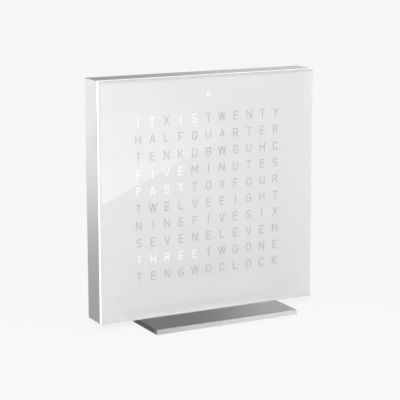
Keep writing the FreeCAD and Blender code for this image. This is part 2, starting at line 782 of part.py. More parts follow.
cover_magnet = rod(
    "cover_magnet", "0", "case_front", "face_middle", "magnet_radius", "cover_magnet_length"
)
cover_magnets = group("cover_magnets", at_studs(cover_magnet))
frame_magnet = rod(
    "frame_magnet", "0", "boss_front", "face_middle", "magnet_radius", "magnet_length"
)
frame_magnets = group("frame_magnets", at_studs(frame_magnet))


# Housing frame: the metal case, a deep ring with a front lip and four corner bosses

case_ring = new_body("case_ring", "0", "case_back", "face_middle", FACING)
case_outline = new_sketch(case_ring, "case_outline")
draw_rectangle(case_outline, "face_width", "face_height")
case_block = pad(case_ring, case_outline, "case_depth")
doc.recompute()
corner_edges = edges_where(
    case_block.Shape, lambda start, end: abs(start.x - end.x) + abs(start.y - end.y) < 0.01
)
case_round = case_ring.newObject("PartDesign::Fillet", "case_round")
case_round.Base = (case_block, corner_edges)
bind(case_round, Radius="edge_round")
inside_outline = new_sketch(case_ring, "inside_outline")
draw_rectangle(inside_outline, "2 * inner_half_width", "2 * inner_half_height")
pocket(case_ring, inside_outline, "case_depth - lip_thickness", upward=True)
lip_outline = new_sketch(case_ring, "lip_outline")
draw_rectangle(
    lip_outline, "2 * (inner_half_width - lip_width)", "2 * (inner_half_height - lip_width)"
)
pocket(case_ring, lip_outline, "case_depth", upward=True)
boss_outline = new_sketch(case_ring, "boss_outline", "case_back - board_front")
magnet_outline = new_sketch(case_ring, "magnet_outline", "case_back - boss_front")
stud_outline = new_sketch(case_ring, "stud_outline", "case_back - board_front")
for side, rise in CORNERS:
    draw_rectangle(
        boss_outline,
        "boss_size",
        "boss_size",
        f"{side} * (inner_half_width - boss_size / 2)",
        f"{rise} * (inner_half_height - boss_size / 2)",
    )
    stud_place = (f"{side} * stud_across", f"{rise} * stud_above")
    draw_circle(magnet_outline, "magnet_radius + pocket_gap", *stud_place)
    draw_circle(stud_outline, "stud_radius + thread_gap", *stud_place)
pad(case_ring, boss_outline, "board_front - boss_front")
pocket(case_ring, magnet_outline, "magnet_length")
pocket(case_ring, stud_outline, "stud_depth + thread_gap", upward=True)


def at_foot_screws(make):
    """A piece made at each of the two foot screws' axes, from their place on X."""
    return [make(f"{side} * foot_screw_across", tag) for side, tag in ((-1, "left"), (1, "right"))]


wall_holes = at_foot_screws(
    lambda x, tag: rod(
        "wall_hole_" + tag, x, "case_middle", "foot_top - cut_spare",
        "foot_screw_radius + thread_gap", "wall + 2 * cut_spare", Rotation(),
    )
)
housing_frame = cut("housing_frame", case_ring, *wall_holes)


# Diffuser sheet and light grid: both drop into the case from behind, round its corner bosses.
# The diffuser's middle is raised through the front lip, close behind the cover's print.

INSERT_SIZE = ("2 * (inner_half_width - fit_gap)", "2 * (inner_half_height - fit_gap)")


def corner_notches(name, y, depth):
    notch = "boss_size + 2 * fit_gap"
    return [
        middle_block(
            f"{name}_{index}",
            f"{side} * (inner_half_width - boss_size / 2)",
            y,
            f"face_middle + {rise} * (inner_half_height - boss_size / 2)",
            notch,
            depth,
            notch,
        )
        for index, (side, rise) in enumerate(CORNERS)
    ]


diffuser_blank = middle_block(
    "diffuser_blank", "0", "lip_back", "face_middle",
    INSERT_SIZE[0], "diffuser_thickness", INSERT_SIZE[1],
)
diffuser_field = middle_block(
    "diffuser_field", "0", "case_front + field_gap", "face_middle",
    "2 * (inner_half_width - lip_width - fit_gap)",
    "grid_front - case_front - field_gap",
    "2 * (inner_half_height - lip_width - fit_gap)",
)
diffuser_notches = corner_notches(
    "diffuser_notch", "case_front - cut_spare", "grid_front - case_front + 2 * cut_spare"
)
diffuser_whole = joined("diffuser_whole", diffuser_blank, diffuser_field)
diffuser_sheet = cut("diffuser_sheet", diffuser_whole, *diffuser_notches)

FIELD_WIDTH = f"({COLUMNS} * letter_pitch)"
FIELD_HEIGHT = f"({len(ROWS)} * row_pitch)"
DOT_PLACES = [(f"{side} * dot_across", f"{rise} * dot_above") for side, rise in CORNERS]
BELL_PLACE = ("0", "dot_above")

tray_blank = middle_block(
    "tray_blank", "0", "grid_front", "face_middle", INSERT_SIZE[0], "grid_depth", INSERT_SIZE[1]
)
tray_hollow = middle_block(
    "tray_hollow", "0", "grid_front + apron_thickness", "face_middle",
    f"{INSERT_SIZE[0]} - 2 * grid_rim", "grid_depth", f"{INSERT_SIZE[1]} - 2 * grid_rim",
)
field_window = middle_block(
    "field_window", "0", "grid_front - cut_spare", "face_middle", FIELD_WIDTH, "grid_depth",
    FIELD_HEIGHT,
)
tray = cut("tray", tray_blank, tray_hollow, field_window)
ribs = []
for index in range(COLUMNS + 1):
    across = f"({index} - {COLUMNS} / 2) * letter_pitch"
    ribs.append(
        middle_block(
            f"upright_rib_{index}", across, "grid_front", "face_middle",
            "grid_wall", "grid_depth", f"{FIELD_HEIGHT} + grid_wall",
        )
    )
for index in range(len(ROWS) + 1):
    above = f"face_middle + ({index} - {len(ROWS)} / 2) * row_pitch"
    ribs.append(
        middle_block(
            f"level_rib_{index}", "0", "grid_front", above,
            f"{FIELD_WIDTH} + grid_wall", "grid_depth", "grid_wall",
        )
    )


def chamber_rods(name, y, depth, extra):
    """Rods on the axes of the four dots and of the bell, wider than the chambers by a sum."""
    rods = [
        rod(f"{name}_{index}", x, y, f"face_middle + {z}", f"chamber_radius + {extra}", depth)
        for index, (x, z) in enumerate(DOT_PLACES)
    ]
    x, z = BELL_PLACE
    radius = f"bell_chamber_radius + {extra}"
    return rods + [rod(f"{name}_bell", x, y, f"face_middle + {z}", radius, depth)]


chambers = chamber_rods("chamber", "grid_front", "grid_depth", "chamber_wall")
grid_blank = joined("grid_blank", tray, *ribs, *chambers, refine=False)
light_grid = cut(
    "light_grid",
    grid_blank,
    *corner_notches("grid_notch", "grid_front - cut_spare", "grid_depth + 2 * cut_spare"),
    *chamber_rods("bore", "grid_front - cut_spare", "grid_depth + 2 * cut_spare", "0"),
)


# Circuit board with its lamps in front, one in each light cell

board_blank = middle_block(
    "board_blank", "0", "board_front", "face_middle",
    INSERT_SIZE[0], "board_thickness", INSERT_SIZE[1],
)
board_hole = rod(
    "board_hole", "0", "board_front - cut_spare", "face_middle",
    "stud_radius + screw_room", "board_thickness + 2 * cut_spare",
)
led_board = cut("led_board", board_blank, group("board_holes", at_studs(board_hole)))


def lamp(name, length, height, thickness, lens):
    """A flat lamp on the board's front with a round lens that stands a little proud."""
    base = middle_block(
        name + "_base", "0", f"board_front - {thickness}", "face_middle", length, thickness, height
    )
    disc = rod(
        name + "_lens", "0", f"board_front - {thickness} - lens_rise", "face_middle",
        lens, f"lens_rise + {thickness} / 2",
    )
    return joined(name, base, disc)


letter_lamp = lamp("letter_lamp", "led_length", "led_height", "led_thickness", "lens_radius")
letter_leds = group(
    "letter_leds",
    [
        copy_at(
            letter_lamp,
            f"({column} - {(COLUMNS - 1) / 2}) * letter_pitch",
            f"({line} - {(len(ROWS) - 1) / 2}) * row_pitch",
        )
        for line in range(len(ROWS))
        for column in range(COLUMNS)
    ],
)
dot_lamp = lamp("dot_lamp", "dot_led_length", "dot_led_height", "dot_led_thickness",
                "dot_lens_radius")
dot_leds = group("dot_leds", [copy_at(dot_lamp, x, z) for x, z in DOT_PLACES + [BELL_PLACE]])


# Components on the back of the board

def chip(name, x, z, length, height, thickness):
    """A moulded chip on its row of leads, with the dimple that marks its first lead."""
    lead_slab = middle_block(
        name + "_leads", x, "board_back", z, f"{length} - 2 * lead_inset", "lead_thickness",
        f"{height} + 2 * lead_reach",
    )
    mould = middle_block(
        name + "_mould", x, "board_back + lead_thickness / 2", z, length,
        f"{thickness} - lead_thickness / 2", height,
    )
    dimple = rod(
        name + "_dimple", f"{x} - {length} / 2 + dimple_inset",
        f"board_back + {thickness} - dimple_depth", f"{z} + {height} / 2 - dimple_inset",
        "dimple_radius", "cut_spare",
    )
    return cut(name, joined(name + "_whole", lead_slab, mould), dimple)


driver_chip = chip("driver_chip", "0", "face_middle", "chip_length", "chip_width", "chip_thickness")
driver_chips = group(
    "driver_chips",
    [copy_at(driver_chip, f"{side} * chip_across", f"{rise} * chip_above") for side, rise in CORNERS],
)
microcontroller = chip(
    "microcontroller", "0", "face_middle", "processor_size", "processor_size",
    "processor_thickness",
)
crystal_place = "processor_size / 2 + lead_reach + crystal_length"
quartz_crystal = joined(
    "quartz_crystal",
    middle_block("crystal_base", crystal_place, "board_back", "face_middle", "crystal_length",
                 "crystal_base_thickness", "crystal_width"),
    middle_block("crystal_lid", crystal_place, "board_back", "face_middle",
                 "crystal_length - 2 * crystal_lid_inset", "crystal_thickness",
                 "crystal_width - 2 * crystal_lid_inset"),
)
CAPACITOR_BASE = "2 * (capacitor_radius + capacitor_base_margin)"
capacitor = joined(
    "capacitor",
    middle_block("capacitor_base", "capacitor_across", "board_back",
                 "face_middle - capacitor_drop", CAPACITOR_BASE, "capacitor_base_thickness",
                 CAPACITOR_BASE),
    rod("capacitor_can", "capacitor_across", "board_back", "face_middle - capacitor_drop",
        "capacitor_radius", "capacitor_height"),
)
smoothing_capacitors = group(
    "smoothing_capacitors",
    [copy_at(capacitor, f"({index} - 1.5) * capacitor_spacing", "0") for index in range(4)],
)

BATTERY_AT = ("battery_across", "face_middle - battery_drop")
holder_blank = rod(
    "holder_blank", BATTERY_AT[0], "board_back", BATTERY_AT[1],
    "battery_radius + battery_gap + holder_wall", "holder_height",
)
holder_well = rod(
    "holder_well", BATTERY_AT[0], "board_back + holder_floor", BATTERY_AT[1],
    "battery_radius + battery_gap", "battery_thickness",
)
finger_slot = middle_block(
    "finger_slot", BATTERY_AT[0], "board_back + holder_floor", BATTERY_AT[1],
    "finger_width", "battery_thickness",
    "2 * (battery_radius + battery_gap + holder_wall + cut_spare)",
)
battery_holder = cut("battery_holder", holder_blank, holder_well, finger_slot)
backup_battery = joined(
    "backup_battery",
    rod("battery_cup", BATTERY_AT[0], "board_back + holder_floor", BATTERY_AT[1],
        "battery_radius - battery_step", "battery_thickness"),
    rod("battery_can", BATTERY_AT[0], "board_back + holder_floor + battery_step_height",
        BATTERY_AT[1], "battery_radius", "battery_thickness - battery_step_height"),
)

SOUNDER_AT = ("sounder_across", "face_middle - sounder_drop")
alarm_sounder = cut(
    "alarm_sounder",
    rod("sounder_can", SOUNDER_AT[0], "board_back", SOUNDER_AT[1], "sounder_radius",
        "sounder_height"),
    rod("sounder_bore", SOUNDER_AT[0], "board_back + sounder_height - sounder_port_depth",
        SOUNDER_AT[1], "sounder_port", "sounder_height"),
)


# Buttons on the back: each slides in its hole and presses the switch in front of it

BUTTONS = ["hour_button", "minute_button", "alarm_button", "light_button"]


def button_across(index):
    return f"({index} - {(len(BUTTONS) - 1) / 2}) * button_spacing"


key_switch = cut(
    "key_switch",
    middle_block("switch_block", "0", "board_back", "button_height", "switch_size",
                 "switch_height", "switch_size"),
    rod("switch_bore", "0", "well_floor", "button_height", "nub_radius + nub_gap",
        "switch_height"),
)
key_switches = group(
    "key_switches", [copy_at(key_switch, button_across(index), "0") for index in range(len(BUTTONS))]
)


def push_button(name, x):
    """A cap behind the rear cover, a flange inside it and a nub down to the switch."""
    body = new_body(name, x, "rear_inside", "button_height", FACING)
    flange = new_sketch(body, name + "_flange")
    draw_circle(flange, "flange_radius")
    pad(body, flange, "flange_thickness")
    nub = new_sketch(body, name + "_nub", "flange_thickness")
    draw_circle(nub, "nub_radius")
    pad(body, nub, "rear_inside - flange_thickness - well_floor - button_travel - nub_rest")
    cap = new_sketch(body, name + "_cap")
    draw_circle(cap, "button_radius")
    cap_pad = pad(body, cap, "rear_cover_thickness + button_proud", downward=True)
    doc.recompute()
    lowest = cap_pad.Shape.BoundBox.ZMin
    rim = [
        f"Edge{index}"
        for index, edge in enumerate(cap_pad.Shape.Edges, start=1)
        if isinstance(edge.Curve, Part.Circle) and edge.BoundBox.ZMax < lowest + 0.01
    ]
    soft_rim = body.newObject("PartDesign::Fillet", name + "_rim")
    soft_rim.Base = (cap_pad, rim)
    bind(soft_rim, Radius="button_round")
    return body


buttons = [push_button(name, button_across(index)) for index, name in enumerate(BUTTONS)]


# Power socket: a shell that stands on the board, with its mouth in the rear cover

def draw_slot(sketch, length, width, x="0", y="0"):
    """A slot with round ends, lying along the sketch's first axis."""
    radius = f"({width}) / 2"
    reach = f"({length}) / 2 - ({width}) / 2"
    left = Vector(number(x) - number(reach), number(y), 0)
    right = Vector(number(x) + number(reach), number(y), 0)
    up = Vector(0, number(radius), 0)
    axis = Vector(0, 0, 1)
    ends = [
        Part.ArcOfCircle(Part.Circle(left, axis, up.y), math.pi / 2, math.pi * 3 / 2),
        Part.ArcOfCircle(Part.Circle(right, axis, up.y), -math.pi / 2, math.pi / 2),
    ]
    first = sketch.addGeometry(Part.LineSegment(right + up, left + up), False)
    sketch.addGeometry(ends[0], False)
    sketch.addGeometry(Part.LineSegment(left - up, right - up), False)
    sketch.addGeometry(ends[1], False)
    for index in range(4):
        after = first + (index + 1) % 4
        sketch.addConstraint(
            Sketcher.Constraint("Tangent", first + index, 2, after, 1)
        )
    sketch.addConstraint(Sketcher.Constraint("Horizontal", first))
    hold(sketch, Sketcher.Constraint("Radius", first + 1, up.y), radius)
    hold(sketch, Sketcher.Constraint("DistanceX", -1, 1, first + 1, 3, left.x), f"{x} - ({reach})")
    hold(sketch, Sketcher.Constraint("DistanceX", -1, 1, first + 3, 3, right.x), f"{x} + ({reach})")
    hold(sketch, Sketcher.Constraint("DistanceY", -1, 1, first + 1, 3, left.y), y)


power_socket = new_body("power_socket", "socket_across", "socket_mouth", "socket_height", FACING)
shell_outline = new_sketch(power_socket, "shell_outline")
draw_slot(shell_outline, "socket_length", "socket_width")
pad(power_socket, shell_outline, "socket_mouth - board_back")
mouth_outline = new_sketch(power_socket, "mouth_outline")
draw_slot(
    mouth_outline, "socket_length - 2 * socket_wall", "socket_width - 2 * socket_wall"
)
pocket(power_socket, mouth_outline, "socket_mouth - board_back - socket_floor", upward=True)
tongue_outline = new_sketch(power_socket, "tongue_outline", "tongue_setback")
draw_rectangle(tongue_outline, "tongue_length", "tongue_thickness")
pad(power_socket, tongue_outline, "socket_mouth - board_back - tongue_setback - socket_floor / 2")


# Standoffs, rear cover and its screws

standoff_body = hexagon(
    "standoff_body", "0", "board_back", "face_middle", "standoff_flats / sqrt(3)", "rear_room"
)
standoff_stud = rod(
    "standoff_stud", "0", "board_front - stud_depth", "face_middle", "stud_radius",
    "stud_depth + board_thickness + stud_root",
)
standoff_bore = rod(
    "standoff_bore", "0", "rear_inside - (screw_length - rear_cover_thickness) - screw_room",
    "face_middle", "stud_radius + thread_gap", "screw_length",
)
standoff = cut("standoff", joined("standoff_whole", standoff_body, standoff_stud), standoff_bore)
board_standoffs = group("board_standoffs", at_studs(standoff))

rear_cover = new_body("rear_cover", "0", "case_back", "face_middle", FACING)
rear_outline = new_sketch(rear_cover, "rear_outline")
draw_rectangle(
    rear_outline, "2 * (inner_half_width - cover_gap)", "2 * (inner_half_height - cover_gap)"
)
pad(rear_cover, rear_outline, "rear_cover_thickness")
through_holes = new_sketch(rear_cover, "through_holes")
head_holes = new_sketch(rear_cover, "head_holes")
for side, rise in CORNERS:
    stud_place = (f"{side} * stud_across", f"{rise} * stud_above")
    draw_circle(through_holes, "stud_radius + screw_room", *stud_place)
    draw_circle(head_holes, "screw_head_radius + screw_room", *stud_place)
for index in range(len(BUTTONS)):
    draw_circle(
        through_holes, "button_radius + button_gap", button_across(index),
        "button_height - face_middle",
    )
pocket(rear_cover, through_holes, "rear_cover_thickness", upward=True)
pocket(rear_cover, head_holes, "screw_head_height", upward=True)
socket_hole = new_sketch(rear_cover, "socket_hole")
draw_slot(
    socket_hole, "socket_length + 2 * socket_gap", "socket_width + 2 * socket_gap",
    "socket_across", "socket_height - face_middle",
)
pocket(rear_cover, socket_hole, "rear_cover_thickness", upward=True)
VENTS_AROUND = 6
vent_holes = new_sketch(rear_cover, "vent_holes")
draw_circle(vent_holes, "vent_radius", "sounder_across", "-sounder_drop")
for index in range(VENTS_AROUND):
    turn = index * 360 / VENTS_AROUND
    draw_circle(
        vent_holes,
        "vent_radius",
        f"sounder_across + vent_spacing * {math.cos(math.radians(turn)):.6f}",
        f"-sounder_drop + vent_spacing * {math.sin(math.radians(turn)):.6f}",
    )
pocket(rear_cover, vent_holes, "rear_cover_thickness", upward=True)

cover_screw = cut(
    "cover_screw",
    joined(
        "cover_screw_whole",
        rod("cover_screw_shank", "0", "case_back - screw_length", "face_middle", "stud_radius",
            "screw_length - screw_head_height / 2"),
        rod("cover_screw_head", "0", "case_back - screw_head_height", "face_middle",
            "screw_head_radius", "screw_head_height"),
    ),
    hexagon("cover_screw_drive", "0", "case_back - drive_depth", "face_middle", "drive_radius",
            "drive_depth + cut_spare"),
)
rear_cover_screws = group("rear_cover_screws", at_studs(cover_screw))


# Foot: a flat plate under the case, with two screws up into its bottom wall and a mat below

foot_plate = new_body("foot_plate", "0", "0", "foot_bottom", Rotation())
foot_outline = new_sketch(foot_plate, "foot_outline")
draw_rectangle(foot_outline, "foot_width", "foot_depth")
foot_slab = pad(foot_plate, foot_outline, "foot_thickness")
doc.recompute()
foot_face = number("foot_thickness")
top_edges = edges_where(foot_slab.Shape, lambda start, end: min(start.z, end.z) > foot_face / 2)
foot_bevel = foot_plate.newObject("PartDesign::Chamfer", "foot_bevel")
foot_bevel.Base = (foot_slab, top_edges)
bind(foot_bevel, Size="edge_bevel")
recess_outline = new_sketch(foot_plate, "recess_outline")
draw_rectangle(recess_outline, "mat_width + 2 * mat_gap", "mat_depth + 2 * mat_gap")
pocket(foot_plate, recess_outline, "mat_recess", upward=True)
foot_heads = new_sketch(foot_plate, "foot_heads")
foot_bores = new_sketch(foot_plate, "foot_bores")
for side in (-1, 1):
    screw_place = (f"{side} * foot_screw_across", "case_middle")
    draw_circle(foot_heads, "foot_head_radius + screw_room", *screw_place)
    draw_circle(foot_bores, "foot_screw_radius + screw_room", *screw_place)
pocket(foot_plate, foot_heads, "mat_recess + foot_head_height", upward=True)
pocket(foot_plate, foot_bores, "foot_thickness", upward=True)


def foot_screw(x, tag):
    shank = rod(
        "foot_shank_" + tag, x, "case_middle", "foot_ceiling", "foot_screw_radius",
        "foot_screw_top - foot_ceiling", Rotation(),
    )
    head = rod(
        "foot_head_" + tag, x, "case_middle", "foot_ceiling", "foot_head_radius",
        "foot_head_height", Rotation(),
    )
    drive = hexagon(
        "foot_drive_" + tag, x, "case_middle", "foot_ceiling - cut_spare", "foot_drive_radius",
        "foot_drive_depth + cut_spare", Rotation(),
    )
    return cut("foot_screw_" + tag, joined("foot_screw_whole_" + tag, shank, head), drive)


foot_screws = group("foot_screws", at_foot_screws(foot_screw))

foot_mat = new_body("foot_mat", "0", "0", "0", Rotation())
mat_outline = new_sketch(foot_mat, "mat_outline")
draw_rectangle(mat_outline, "mat_width", "mat_depth")
mat_slab = pad(foot_mat, mat_outline, "mat_thickness")
doc.recompute()
mat_corners = edges_where(
    mat_slab.Shape, lambda start, end: abs(start.x - end.x) + abs(start.y - end.y) < 0.01
)
mat_round = foot_mat.newObject("PartDesign::Fillet", "mat_round")
mat_round.Base = (mat_slab, mat_corners)
bind(mat_round, Radius="mat_corner")


# The finished pieces, one file each

NODES = [
    front_cover,
    letter_mask,
    cover_magnets,
    housing_frame,
    frame_magnets,
    diffuser_sheet,
    light_grid,
    led_board,
    letter_leds,
    dot_leds,
    driver_chips,
    microcontroller,
    quartz_crystal,
    smoothing_capacitors,
    battery_holder,
    backup_battery,
    alarm_sounder,
    key_switches,
    power_socket,
    board_standoffs,
    rear_cover,
    rear_cover_screws,
    *buttons,
    foot_plate,
    foot_screws,
    foot_mat,
]

doc.recompute()
for item in doc.Objects:
    if "Invalid" in item.State or "Error" in item.State:
        raise RuntimeError(f"{item.Name} failed: {item.State}")
for node in NODES:
    if node.Shape.isNull() or not node.Shape.isValid() or not node.Shape.Solids:
        raise RuntimeError(f"{node.Name} has no sound solid")

os.makedirs("parts", exist_ok=True)
for node in NODES:
    node.Label = node.Name
    node.Shape.exportStep(f"parts/{node.Label}.step")
    box = node.Shape.BoundBox
    print(
        f"{node.Label}: {len(node.Shape.Solids)} solids, {node.Shape.Volume:.1f} mm3,"
        f" x {box.XMin:.2f} to {box.XMax:.2f}, y {box.YMin:.2f} to {box.YMax:.2f},"
        f" z {box.ZMin:.2f} to {box.ZMax:.2f}"
    )
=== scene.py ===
# %% [markdown]
# # A desk word clock
#
# A flat metal case stands on a brushed foot. A clear front cover with a white print on its back
# shows the time in lit words. The solid pieces come ready-made, in metres, in one shared frame:
# +Z is up, the letters look along -Y, and the origin is on the table under the middle of the foot.
# This lesson gives each piece its finish, then sets up the camera, the lights and the floor.

import json
import math

import bpy
from mathutils import Matrix, Vector


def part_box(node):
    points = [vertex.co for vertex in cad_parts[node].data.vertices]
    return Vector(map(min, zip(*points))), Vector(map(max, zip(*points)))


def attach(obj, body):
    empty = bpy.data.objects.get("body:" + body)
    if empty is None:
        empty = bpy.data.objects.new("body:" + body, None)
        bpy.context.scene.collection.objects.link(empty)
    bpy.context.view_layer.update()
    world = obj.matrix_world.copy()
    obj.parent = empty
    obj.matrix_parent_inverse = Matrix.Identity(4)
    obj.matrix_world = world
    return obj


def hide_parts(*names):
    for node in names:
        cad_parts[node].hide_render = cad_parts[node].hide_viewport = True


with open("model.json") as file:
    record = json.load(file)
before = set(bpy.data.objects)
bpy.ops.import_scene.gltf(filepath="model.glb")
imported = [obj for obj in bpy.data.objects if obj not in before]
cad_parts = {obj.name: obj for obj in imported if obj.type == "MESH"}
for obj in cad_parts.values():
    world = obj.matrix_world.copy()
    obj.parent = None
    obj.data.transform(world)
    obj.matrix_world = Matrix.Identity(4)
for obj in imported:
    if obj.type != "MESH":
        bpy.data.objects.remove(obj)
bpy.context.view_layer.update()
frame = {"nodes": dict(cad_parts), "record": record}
nodes = frame["nodes"]
MM = 0.001

# %% [markdown]
# Every place that the finishes need is read from the pieces themselves, so that the looks follow
# the solids when a size changes. Sizes in this lesson are in millimetres, because a finish is
# easier to judge that way: a grain of 0.3 mm says more than a grain of 0.0003.

# %% Places on the object, in millimetres
def box_mm(name):
    """The lowest and highest corner of a piece, in millimetres."""
    low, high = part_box(name)
    return low / MM, high / MM


def middle_mm(name):
    low, high = box_mm(name)
    return (low + high) / 2


FACE_MIDDLE = middle_mm("front_cover")
PRINT_FRONT = box_mm("letter_mask")[0].y
PRINT_BACK = box_mm("letter_mask")[1].y
BOARD_BACK = box_mm("led_board")[1].y
FOOT_CORNER = box_mm("foot_plate")[1]
print("middle of the face", list(FACE_MIDDLE), "print", PRINT_FRONT, "to", PRINT_BACK)

# %% [markdown]
# ## Arithmetic on shader values
#
# A material is a graph of nodes. Clicking one together in code takes many lines, so a socket is
# wrapped in a small class whose operators add the Math nodes: `1 - mask` then reads as it would on
# paper. Vectors go through Vector Math, colours through Mix, because a Math node makes them grey.

# %% Wire: one output socket that takes part in arithmetic
class Wire:
    def __init__(self, finish, socket):
        self.finish = finish
        self.socket = socket

    def combine(self, operation, *values):
        vectors = [item for item in values if isinstance(item, Wire) and item.is_vector()]
        kind = "VectorMath" if vectors else "Math"
        if vectors:
            values = [(item,) * 3 if isinstance(item, (int, float)) else item for item in values]
        return self.finish.node(kind, {"operation": operation}, dict(enumerate(values)))

    def is_vector(self):
        return self.socket.type == "VECTOR"

    def __add__(self, other):
        return self.combine("ADD", self, other)

    def __sub__(self, other):
        return self.combine("SUBTRACT", self, other)

    def __mul__(self, other):
        return self.combine("MULTIPLY", self, other)

    def __truediv__(self, other):
        return self.combine("DIVIDE", self, other)

    def __pow__(self, other):
        return self.combine("POWER", self, other)

    def __mod__(self, other):
        return self.combine("FLOORED_MODULO", self, other)

    def __radd__(self, other):
        return self.combine("ADD", other, self)

    def __rsub__(self, other):
        return self.combine("SUBTRACT", other, self)

    def __rmul__(self, other):
        return self.combine("MULTIPLY", other, self)

    def __abs__(self):
        return self.combine("ABSOLUTE", self)

    def least(self, other):
        return self.combine("MINIMUM", self, other)

    def most(self, other):
        return self.combine("MAXIMUM", self, other)

    def clamp(self):
        """The same value, held between 0 and 1."""
        return self.most(0.0).least(1.0)


print("wires add, subtract, multiply, divide, raise and wrap round")

# %% [markdown]
# A finish is a material under construction. One method makes any node: its settings go first,
# because some of them decide which sockets it has, then the values or wires of its sockets.
# Places come from the object's own coordinates, so nothing slides when a piece moves or when the
# camera does.

# %% Finish: a material and the nodes in it
class Finish:
    def __init__(self, tree):
        self.tree = tree
        self.tree.nodes.clear()

    def node(self, kind, settings=None, sockets=None, output=0):
        """Any node: first its settings, then the values or wires of its sockets."""
        node = self.tree.nodes.new("ShaderNode" + kind)
        for name, value in (settings or {}).items():
            setattr(node, name, value)
        for name, value in (sockets or {}).items():
            if isinstance(value, Wire):
                self.tree.links.new(value.socket, node.inputs[name])
            else:
                node.inputs[name].default_value = value
        return Wire(self, node.outputs[output]) if node.outputs else None

    def place(self):
        """The place on the object, in millimetres."""
        return self.node("TexCoord", output="Object") * (1 / MM)

    def axes(self, names):
        """Coordinates of that place, each by itself: "XZ" gives the first and the third."""
        place = self.place()
        return [self.node("SeparateXYZ", sockets={0: place}, output=name) for name in names]

    def grain(self, size, stretch=(1, 1, 1), detail=2.0):
        """Cloudy noise from 0 to 1: spots of a size in millimetres, drawn out by a stretch."""
        scale = tuple(1 / (size * length) for length in stretch)
        sockets = {"Vector": self.place() * scale, "Scale": 1.0, "Detail": detail}
        return self.node("TexNoise", sockets=sockets)

    def blend(self, low, high, amount):
        """One colour that turns into another as the amount goes from 0 to 1."""
        low, high = (item if isinstance(item, Wire) else (*item, 1.0) for item in (low, high))
        return self.node("Mix", {"data_type": "RGBA"}, {0: amount, 6: low, 7: high}, output=2)

    def bump(self, height, depth):
        """A normal from a height between 0 and 1 that stands for a depth in millimetres."""
        sockets = {"Strength": 1.0, "Distance": depth * MM, "Height": height}
        return self.node("Bump", sockets=sockets)

    def principled(self, **sockets):
        named = {name.replace("_", " "): value for name, value in sockets.items()}
        return self.node("BsdfPrincipled", sockets=named)

    def output(self, shader):
        self.node("OutputMaterial", sockets={"Surface": shader})


def grey(level):
    return (level, level, level)


def new_material(name):
    material = bpy.data.materials.new(name)
    material.use_nodes = True
    return material, Finish(material.node_tree)


FINISHES = {}


def keep(material):
    """Keep a finish for the slot that it is named after, less any number that Blender added."""
    slot = material.name.split(".")[0]
    FINISHES[slot] = material
    print("finish:", slot, "with", len(material.node_tree.nodes), "nodes")


print("a finish is ready to build nodes")

# %% [markdown]
# Masks are the other tool: a value that is 1 inside a shape and 0 outside. A band needs only the
# distance from its middle line, and two bands multiplied make a rectangle. A wrapped coordinate
# repeats one mask over a whole row of lamps, letters or teeth.

# %% Masks: band, disc, face and wrap
def band(value, middle, half, soft=0.05):
    """1 within half of a middle line, 0 outside, over a soft edge."""
    return ((half - abs(value - middle)) / soft + 0.5).clamp()


def disc(x, z, radius, soft=0.05):
    """1 inside a circle round the zero point of two coordinates."""
    return ((radius - (x * x + z * z) ** 0.5) / soft + 0.5).clamp()


def on_face(value, place):
    """1 on a flat face that lies at this place of a coordinate."""
    return band(value, place, 0.04, 0.02)


def wrap(value, middle, pitch):
    """The distance from the nearest of many middle lines that are a pitch apart."""
    return (value - middle + pitch / 2) % pitch - pitch / 2


def wear(finish):
    """Faint handling marks: broad cloudy patches that a roughness is changed by."""
    return (finish.grain(14.0, detail=3.0) - 0.5) * 0.06


print("masks are ready")

# %% [markdown]
# ## The grid of letters
#
# Ten rows of eleven letters fill the face. The pitch of the grid is read from the lamps behind it:
# one lamp sits in the middle of each cell. The lit words make a sentence, each given by its row
# and its first and last column.

# %% The letter grid and the words that are lit
COLUMNS, ROWS = 11, 10
LAMPS_LOW, LAMPS_HIGH = box_mm("letter_leds")
LAMP_LENGTH, LAMP_HEIGHT = 3.5, 2.8
PITCH_X = (LAMPS_HIGH.x - LAMPS_LOW.x - LAMP_LENGTH) / (COLUMNS - 1)
PITCH_Z = (LAMPS_HIGH.z - LAMPS_LOW.z - LAMP_HEIGHT) / (ROWS - 1)
LIT_WORDS = [(1, 1, 2), (1, 4, 5), (4, 1, 4), (5, 1, 4), (9, 1, 5)]
CELL_EDGE = 0.4
print(f"the grid's pitch is {PITCH_X:.2f} by {PITCH_Z:.2f} mm")


def column_x(column):
    return FACE_MIDDLE.x + (column - (COLUMNS + 1) / 2) * PITCH_X


def row_z(row):
    return FACE_MIDDLE.z + ((ROWS + 1) / 2 - row) * PITCH_Z


def lit_mask(x, z):
    """1 over the cells of the lit words."""
    total = 0.0
    for row, first, last in LIT_WORDS:
        middle = (column_x(first) + column_x(last)) / 2
        across = band(x, middle, (last - first + 1) * PITCH_X / 2, CELL_EDGE)
        total = total + across * band(z, row_z(row), PITCH_Z / 2, CELL_EDGE)
    return total


# %% [markdown]
# ## The front cover
#
# The cover is a slab of clear acrylic with polished edges. Real acrylic bends light, so it gets
# transmission and its own index of refraction. Light must reach the print behind it, which path
# tracing finds only by luck through a bending surface, so rays towards the lamps and rays that
# gather soft light meet a plain transparent shader instead. Faint wipe marks vary the polish.

# %% Clear acrylic
def clear_acrylic():
    material, finish = new_material("clear_acrylic")
    marks = finish.grain(9.0, (1, 1, 0.3), 4.0)
    slab = finish.principled(
        Base_Color=(0.985, 0.99, 0.99, 1),
        Roughness=(marks - 0.45).clamp() * 0.05,
        IOR=1.49,
        Transmission_Weight=1.0,
    )
    open_air = finish.node("BsdfTransparent", sockets={"Color": (0.98, 0.98, 0.98, 1)})
    surface = slab
    for kind in ("Is Diffuse Ray", "Is Shadow Ray"):
        passes = finish.node("LightPath", output=kind)
        surface = finish.node("MixShader", sockets={0: passes, 1: surface, 2: open_air})
    finish.output(surface)
    return material


keep(clear_acrylic())

